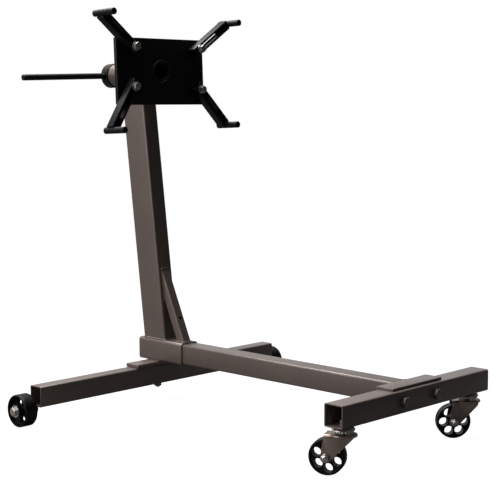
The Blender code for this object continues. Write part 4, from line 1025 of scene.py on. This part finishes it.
postSpec = {"width": 0.082, "height": 0.047, "wall": 0.003, "corner": 0.0048, "lean": math.radians(6.97)}
braceSpec = {"width": 0.0254, "height": 0.0254, "wall": 0.002, "corner": 0.0030, "lean": math.radians(24.2),
             "holeRadius": 0.004, "holeHeight": 0.060}
headAxis = Vector(joints["head_rotation"]["axis"]).normalized()
headPlace = Vector(joints["head_rotation"]["pos_m"])
headFrame = frameFrom(headPlace, (0, 1, 0), headAxis)  # local Z runs forward along the head's axis, local X is +Y
sleeveRadius = (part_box("head_sleeve")[1].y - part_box("head_sleeve")[0].y) / 2


def leaning(angle):
    return Vector((-math.sin(angle), 0, math.cos(angle)))


def facing(angle):
    return Vector((math.cos(angle), 0, math.sin(angle)))


postLow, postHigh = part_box("post")
postFoot = Vector((postHigh.x - postSpec["width"] / 2 / math.cos(postSpec["lean"]), 0, postLow.z))
braceLow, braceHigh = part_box("post_brace")
braceFoot = Vector((braceHigh.x - braceSpec["width"] / 2 / math.cos(braceSpec["lean"]), 0, braceLow.z))


def makePost():
    spec = postSpec
    along = frameFrom(postFoot, facing(spec["lean"]), leaning(spec["lean"]))
    post = squareTube("post", spec, -0.03, 0.72, along, (
        (postFoot, (0, 0, -1)), ((0, 0, headPlace.z), (0, 0, 1))))
    cope = roundBar("copeCutter", sleeveRadius + gap, -0.3, 0.1, 0, 96)
    putAt(cope, headFrame)
    carve(post, cope)
    smooth(post)
    dress(post, framePaint, "stand", "post", slot="frame_paint")

    spec = braceSpec
    along = frameFrom(braceFoot, facing(spec["lean"]), leaning(spec["lean"]))
    postFace = postFoot + facing(postSpec["lean"]) * (postSpec["width"] / 2 + gap)
    brace = squareTube("postBrace", spec, -0.03, 0.26, along, (
        (braceFoot, (0, 0, -1)), (postFace, -facing(postSpec["lean"]))))
    hole = braceFoot + leaning(spec["lean"]) * spec["holeHeight"]
    drill(brace, spec["holeRadius"], 0, 0.03, frameFrom(hole, (0, 1, 0), facing(spec["lean"])), 28)
    smooth(brace)
    dress(brace, framePaint, "stand", "post_brace", slot="frame_paint")

    front, rear = sleeveSpan("head_sleeve")
    sleeve = roundPipe("headSleeve", sleeveRadius, sleeveRadius - 0.004, rear, front, 0.0006, 96)
    putAt(sleeve, headFrame)
    drill(sleeve, 0.0054, sleeveRadius - 0.010, sleeveRadius + 0.010, lockFrame())
    smooth(sleeve)
    dress(sleeve, framePaint, "stand", "head_sleeve", slot="frame_paint")


def lockFrame():
    # the locking pin's own axis, from the head's axis up through the sleeve
    upward = -Vector(joints["lock_pin_slide"]["axis"])
    low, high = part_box("lock_boss")
    setback = ((low + high) / 2 - headPlace).dot(headAxis)
    return frameFrom(headPlace + headAxis * setback, (0, 1, 0), upward)


def sleeveSpan(node):
    # how far a round piece of the head reaches along the head's axis: front end, then rear end
    points = [vertex.co for vertex in frame["nodes"][node].data.vertices]
    reach = [(point - headPlace).dot(headAxis) for point in points]
    return max(reach), min(reach)


makePost()


def makeLock():
    # guide boss on the sleeve and the pin that drops into the turning tube, pulled up at rest
    upward = -Vector(joints["lock_pin_slide"]["axis"])
    boss = roundPipe("lockBoss", 0.0095, 0.0054, sleeveRadius + gap, sleeveRadius + gap + 0.012, 0.0008, 48)
    smooth(boss)
    base = lockFrame()
    putAt(boss, base)
    dress(boss, framePaint, "stand", "lock_boss", slot="frame_paint")

    points = [(vertex.co - headPlace).dot(upward) for vertex in frame["nodes"]["lock_pin"].data.vertices]
    tip, top = min(points), max(points)
    knob = top - 0.008
    profile = [(0, tip), (0.0036, tip), (0.005, tip + 0.0014), (0.005, knob - 0.0012), (0.0062, knob)]
    profile += arc(0.0074, knob + 0.0018, 0.0016, 270, 360, 4)
    profile += [(0.0083, knob + 0.0030), (0.0083, knob + 0.0048)]
    profile += arc(0.0074, top - 0.0016, 0.0016, 0, 90, 4)
    profile += [(0, top)]
    pin = lathe("lockPin", profile, 48, False)
    putAt(pin, base)
    smooth(pin)
    dress(pin, brightZinc, "lock_pin", "lock_pin", slot="zinc")


makeLock()
print("post, brace, sleeve and lock made")


# turning head: tube, plate, collar and bar

def makeHead():
    front, rear = sleeveSpan("head_tube")
    tubeRadius = sleeveRadius - 0.0045
    bore = tubeRadius - 0.0045
    tube = roundPipe("headTube", tubeRadius, bore, rear, front, 0.0008, 96)
    putAt(tube, headFrame)
    upward = -Vector(joints["lock_pin_slide"]["axis"])
    boss = (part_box("lock_boss")[0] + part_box("lock_boss")[1]) / 2
    lockPlace = headPlace + headAxis * (boss - headPlace).dot(headAxis)
    for turn in (upward, Vector((0, 1, 0))):
        drill(tube, 0.0054, -0.04, 0.04, frameFrom(lockPlace, headAxis, turn))
    barRadius = barSpec["radius"]
    collarFront, collarRear = sleeveSpan("tube_collar")
    holePlace = headPlace + headAxis * (collarFront + collarRear) / 2
    acrossHead = frameFrom(holePlace, headAxis, (0, 1, 0))
    drill(tube, barRadius + barSpec["play"], -0.05, 0.05, acrossHead)
    smooth(tube)
    dress(tube, headPaint, "head", "head_tube", slot="head_paint")

    front, rear = collarFront, collarRear
    outer = (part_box("tube_collar")[1].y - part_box("tube_collar")[0].y) / 2
    collar = lathe("tubeCollar", [
        (tubeRadius + gap, rear), (tubeRadius + gap, front), (outer - 0.0012, front), (outer, front - 0.0012),
        (outer, rear + 0.0016), (outer - 0.0006, rear + 0.0006), (outer - 0.0018, rear)], 96)
    putAt(collar, headFrame)
    drill(collar, barRadius + barSpec["play"], -0.05, 0.05, acrossHead)
    softenEdges(collar, 0.0004, 2, 50)
    smooth(collar)
    dress(collar, headPaint, "head", "tube_collar", slot="head_paint")

    slide = Vector(joints["handle_slide"]["axis"]).normalized()
    reach = [(vertex.co - holePlace).dot(slide) for vertex in frame["nodes"]["handle_bar"].data.vertices]
    reachLow, reachHigh = min(reach), max(reach)
    edge = 0.003
    profile = [(0, reachLow)] + [(barRadius - edge + x, reachLow + edge + y) for x, y in arc(0, 0, edge, 270, 360, 5)]
    profile += [(barRadius - edge + x, reachHigh - edge + y) for x, y in arc(0, 0, edge, 0, 90, 5)] + [(0, reachHigh)]
    bar = lathe("handleBar", profile, 48, False)
    putAt(bar, frameFrom(holePlace, headAxis, slide))
    smooth(bar)
    dress(bar, headPaint, "handle", "handle_bar", slot="head_paint")

    front, rear = sleeveSpan("head_plate")
    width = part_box("head_plate")[1].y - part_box("head_plate")[0].y
    heights = [(vertex.co - headPlace).dot(upward) for vertex in frame["nodes"]["head_plate"].data.vertices]
    plate = block("headPlate", (width, max(heights) - min(heights), front - rear), (0, 0, (front + rear) / 2))
    pick(plate, "EDGE", edgeAlong((0, 0, 1)))
    bpy.ops.mesh.bevel(offset=0.004, segments=4, affect="EDGES")
    bpy.ops.object.mode_set(mode="OBJECT")
    softenEdges(plate, 0.0008, 2, 50)
    putAt(plate, headFrame)
    drill(plate, tubeRadius + gap, -0.03, 0.03, headFrame, 96)
    for corner in armNames:
        place = joints[f"arm_{corner}_pivot"]["pos_m"]
        drill(plate, 0.0064, -0.03, 0.03, frameFrom(place, (0, 1, 0), headAxis), 32)
    smooth(plate)
    dress(plate, headPaint, "head", "head_plate", slot="head_paint")


barSpec = {"radius": 0.0078, "play": 0.0014}
armNames = ("upper_right", "upper_left", "lower_right", "lower_left")
makeHead()
print("turning head made")


# the four slotted arms

armSpec = {"width": 0.025, "height": 0.025, "wall": 0.002, "corner": 0.0028, "tail": 0.016, "slot": 0.0064,
           "slotLength": 0.090, "tipRadius": 0.0084, "tipBore": 0.0055, "tipBack": 0.011, "tipLength": 0.076}


def makeArm(corner):
    spec = armSpec
    label = "".join(word.title() for word in corner.split("_"))
    pivot = Vector(joints[f"arm_{corner}_pivot"]["pos_m"])
    along = Vector(joints[f"arm_{corner}_slide"]["axis"]).normalized()
    low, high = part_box(f"arm_tip_{corner}")
    reach = ((low + high) / 2 - pivot).dot(along)
    full = 0.1326
    here = frameFrom(pivot + along * (reach - full), headAxis, along)  # local X forward, local Z out along the arm
    middle = gap + spec["height"] / 2
    end = full - spec["tipRadius"] / 2
    arm = squareTube(f"arm{label}", spec, -spec["tail"], end, Matrix.Translation((middle, 0, 0)))
    softenEdges(arm, 0.0003, 2, 60)
    outline = arc(0, 0, spec["slot"], 180, 360, 12) + arc(0, spec["slotLength"], spec["slot"], 0, 180, 12)
    slot = plateFrom("slotCutter", outline, -0.01, 0.04)
    putAt(slot, Matrix(((0, 0, 1, 0), (1, 0, 0, 0), (0, 1, 0, 0), (0, 0, 0, 1))))
    carve(arm, slot)
    cope = roundBar("copeCutter", spec["tipRadius"] + gap, -0.03, 0.05, 0, 48)
    putAt(cope, frameFrom((0, 0, full), (0, 1, 0), (1, 0, 0)))
    carve(arm, cope)
    putAt(arm, here)
    smooth(arm)
    dress(arm, headPaint, f"arm_{corner}", f"arm_{corner}", slot="head_paint")

    tip = roundPipe(f"armTip{label}", spec["tipRadius"], spec["tipBore"], -spec["tipBack"], spec["tipLength"] - spec["tipBack"], 0.0008, 56)
    putAt(tip, here @ frameFrom((0, 0, full), (0, 1, 0), (1, 0, 0)))
    smooth(tip)
    dress(tip, headPaint, f"arm_{corner}", f"arm_tip_{corner}", slot="head_paint")

    seat = 2 * gap + spec["height"]
    pinned = frameFrom(pivot, (0, 1, 0), headAxis)
    washer = washerPiece(f"armWasher{label}", 0.0114, 0.0064, seat, seat + 0.0025)
    putAt(washer, pinned)
    dress(washer, brightZinc, f"arm_pivot_{corner}", f"arm_washer_{corner}", slot="zinc")
    under = seat + 0.0025 + gap
    behind = -0.0098 - gap
    bolt = boltStack(f"armBolt{label}", 0.006, (
        ("head", 0.017, under, under + 0.008), ("shank", 0.0058, behind - 0.009, under + 0.001),
        ("nut", 0.017, behind - 0.010, behind)),
        ((behind - 0.014, behind - 0.009, 0.00175, -1),))
    putAt(bolt, pinned)
    dress(bolt, brightZinc, f"arm_pivot_{corner}", f"arm_bolt_{corner}", slot="zinc")
    return here, full


armFrames = {corner: makeArm(corner) for corner in armNames}
print("arms made")


# weld beads

def rectangleRound(centre, acrossX, acrossY, halfX, halfY, corner):
    points = []
    for turn, (sideX, sideY) in enumerate(((1, 1), (-1, 1), (-1, -1), (1, -1))):
        for x, y in arc(sideX * (halfX - corner), sideY * (halfY - corner), corner, 90 * turn, 90 * turn + 90, 4):
            points.append(Vector(centre) + Vector(acrossX) * x + Vector(acrossY) * y)
    return points


def ringRound(matrix, radius, height, steps=60):
    angles = [2 * math.pi * step / steps for step in range(steps)]
    return [matrix @ Vector((radius * math.cos(angle), radius * math.sin(angle), height)) for angle in angles]


def makeWelds():
    stand = ("stand", "frame_paint")
    bead = 0.0021
    lean = math.cos(postSpec["lean"])
    weldBead("weldPostFoot", rectangleRound(
        postFoot + Vector((0, 0, 0.0004)), (1, 0, 0), (0, 1, 0), postSpec["width"] / 2 / lean + 0.0006,
        postSpec["height"] / 2 + 0.0006, postSpec["corner"]), bead, True, framePaint, *stand)
    lean = math.cos(braceSpec["lean"])
    weldBead("weldBraceFoot", rectangleRound(
        braceFoot + Vector((0, 0, 0.0004)), (1, 0, 0), (0, 1, 0), braceSpec["width"] / 2 / lean + 0.0004,
        braceSpec["height"] / 2 + 0.0006, braceSpec["corner"]), 0.0018, True, framePaint, *stand)
    face, up = facing(postSpec["lean"]), leaning(postSpec["lean"])
    start = postFoot + face * (postSpec["width"] / 2)
    slope = leaning(braceSpec["lean"])
    run = (start - braceFoot).dot(face) / slope.dot(face)
    meet = braceFoot + slope * run
    stretch = braceSpec["width"] / 2 / abs(slope.dot(face))
    weldBead("weldBraceTop", rectangleRound(
        meet + face * 0.0004, up, (0, 1, 0), stretch * 0.98, braceSpec["height"] / 2 + 0.0006, braceSpec["corner"]),
        0.0018, True, framePaint, *stand)

    low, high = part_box("leg_socket")
    plateLow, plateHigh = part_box("mount_plate")
    for sign in (-1, 1):
        y = sign * (high.y - 0.0045)
        weldBead(f"weldSocket{'Left' if sign > 0 else 'Right'}", [
            (plateLow.x + 0.001, y, plateHigh.z + 0.0012), (plateHigh.x - 0.001, y, plateHigh.z + 0.0012)],
            0.0022, False, framePaint, *stand)
        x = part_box("rear_crossmember")[1 if sign > 0 else 0].x
        name = "Front" if sign > 0 else "Rear"
        for part, (y0, y1) in enumerate(((-0.092, -0.045), (0.045, 0.092))):
            weldBead(f"weldPlate{name}{part}", [(x + sign * 0.0006, y0, plateLow.z - 0.0008), (x + sign * 0.0006, y1, plateLow.z - 0.0008)],
                     0.0016, False, framePaint, *stand)
    low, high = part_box("main_leg")
    middle = Vector((high.x - 0.0003, 0, (low.z + high.z) / 2))
    weldBead("weldLegEnd", rectangleRound(
        middle, (0, 1, 0), (0, 0, 1), 0.0256, 0.0256, 0.0046), 0.0017, True, framePaint, *stand)
    for side, sign in sides:
        low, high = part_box(f"axle_boss_{side}")
        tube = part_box("rear_crossmember")[0]
        y = low.y if sign > 0 else high.y
        weldBead(f"weldBoss{side.title()}", [
            (tube.x - 0.0004, y - sign * 0.0004, high.z - 0.002), (tube.x - 0.0004, y - sign * 0.0004, tube.z + 0.004)],
            0.0015, False, framePaint, *stand)

    half = postSpec["height"] / 2
    drop = -math.sqrt(sleeveRadius ** 2 - half ** 2)
    headUp = headFrame.to_3x3() @ Vector((0, 1, 0))
    if headUp.z < 0:
        headUp = -headUp
    for sign in (-1, 1):
        point = headPlace + headUp * drop + Vector((0, sign * (half + 0.0004), 0))
        centreAt = (postFoot + leaning(postSpec["lean"]) * ((point.z - postFoot.z) / math.cos(postSpec["lean"])))
        reach = postSpec["width"] / 2 / math.cos(postSpec["lean"]) - 0.002
        middle = (centreAt - point).dot(headAxis)
        weldBead(f"weldSleeve{'Left' if sign > 0 else 'Right'}", [
            point + headAxis * (middle - reach), point + headAxis * (middle + reach)], 0.0021, False, framePaint, *stand)
    boss = (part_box("lock_boss")[0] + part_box("lock_boss")[1]) / 2
    upward = -Vector(joints["lock_pin_slide"]["axis"])
    base = frameFrom(headPlace + headAxis * (boss - headPlace).dot(headAxis), (0, 1, 0), upward)
    ring = []
    for step in range(36):
        angle = 2 * math.pi * step / 36
        x, y = 0.0099 * math.cos(angle), 0.0099 * math.sin(angle)
        ring.append(base @ Vector((x, y, math.sqrt(sleeveRadius ** 2 - x ** 2) + 0.0004)))
    weldBead("weldLockBoss", ring, 0.0013, True, framePaint, *stand)

    black = ("head", "head_paint")
    tubeRadius = sleeveRadius - 0.0045
    weldBead("weldPlateFront", ringRound(headFrame, tubeRadius + 0.0024, 0.0002), 0.0027, True, headPaint, *black)
    weldBead("weldPlateBack", ringRound(headFrame, tubeRadius + 0.0008, -0.0104), 0.0014, True, headPaint, *black)
    rear = sleeveSpan("tube_collar")[1]
    weldBead("weldCollar", ringRound(headFrame, tubeRadius + 0.0004, rear + 0.0011), 0.0009, True, headPaint, *black)
    for corner, (here, full) in armFrames.items():
        label = "".join(word.title() for word in corner.split("_"))
        half = armSpec["width"] / 2
        for sign in (-1, 1):
            path = []
            for x in (0.002, 0.0125, 0.0235):
                path.append(here @ Vector((x + gap, sign * armSpec["tipRadius"] * 0.97, full - armSpec["tipRadius"] * 0.45)))
            weldBead(f"weldTip{label}{'A' if sign > 0 else 'B'}", path, 0.0017, False, headPaint, f"arm_{corner}", "head_paint")


makeWelds()
print("welds laid")
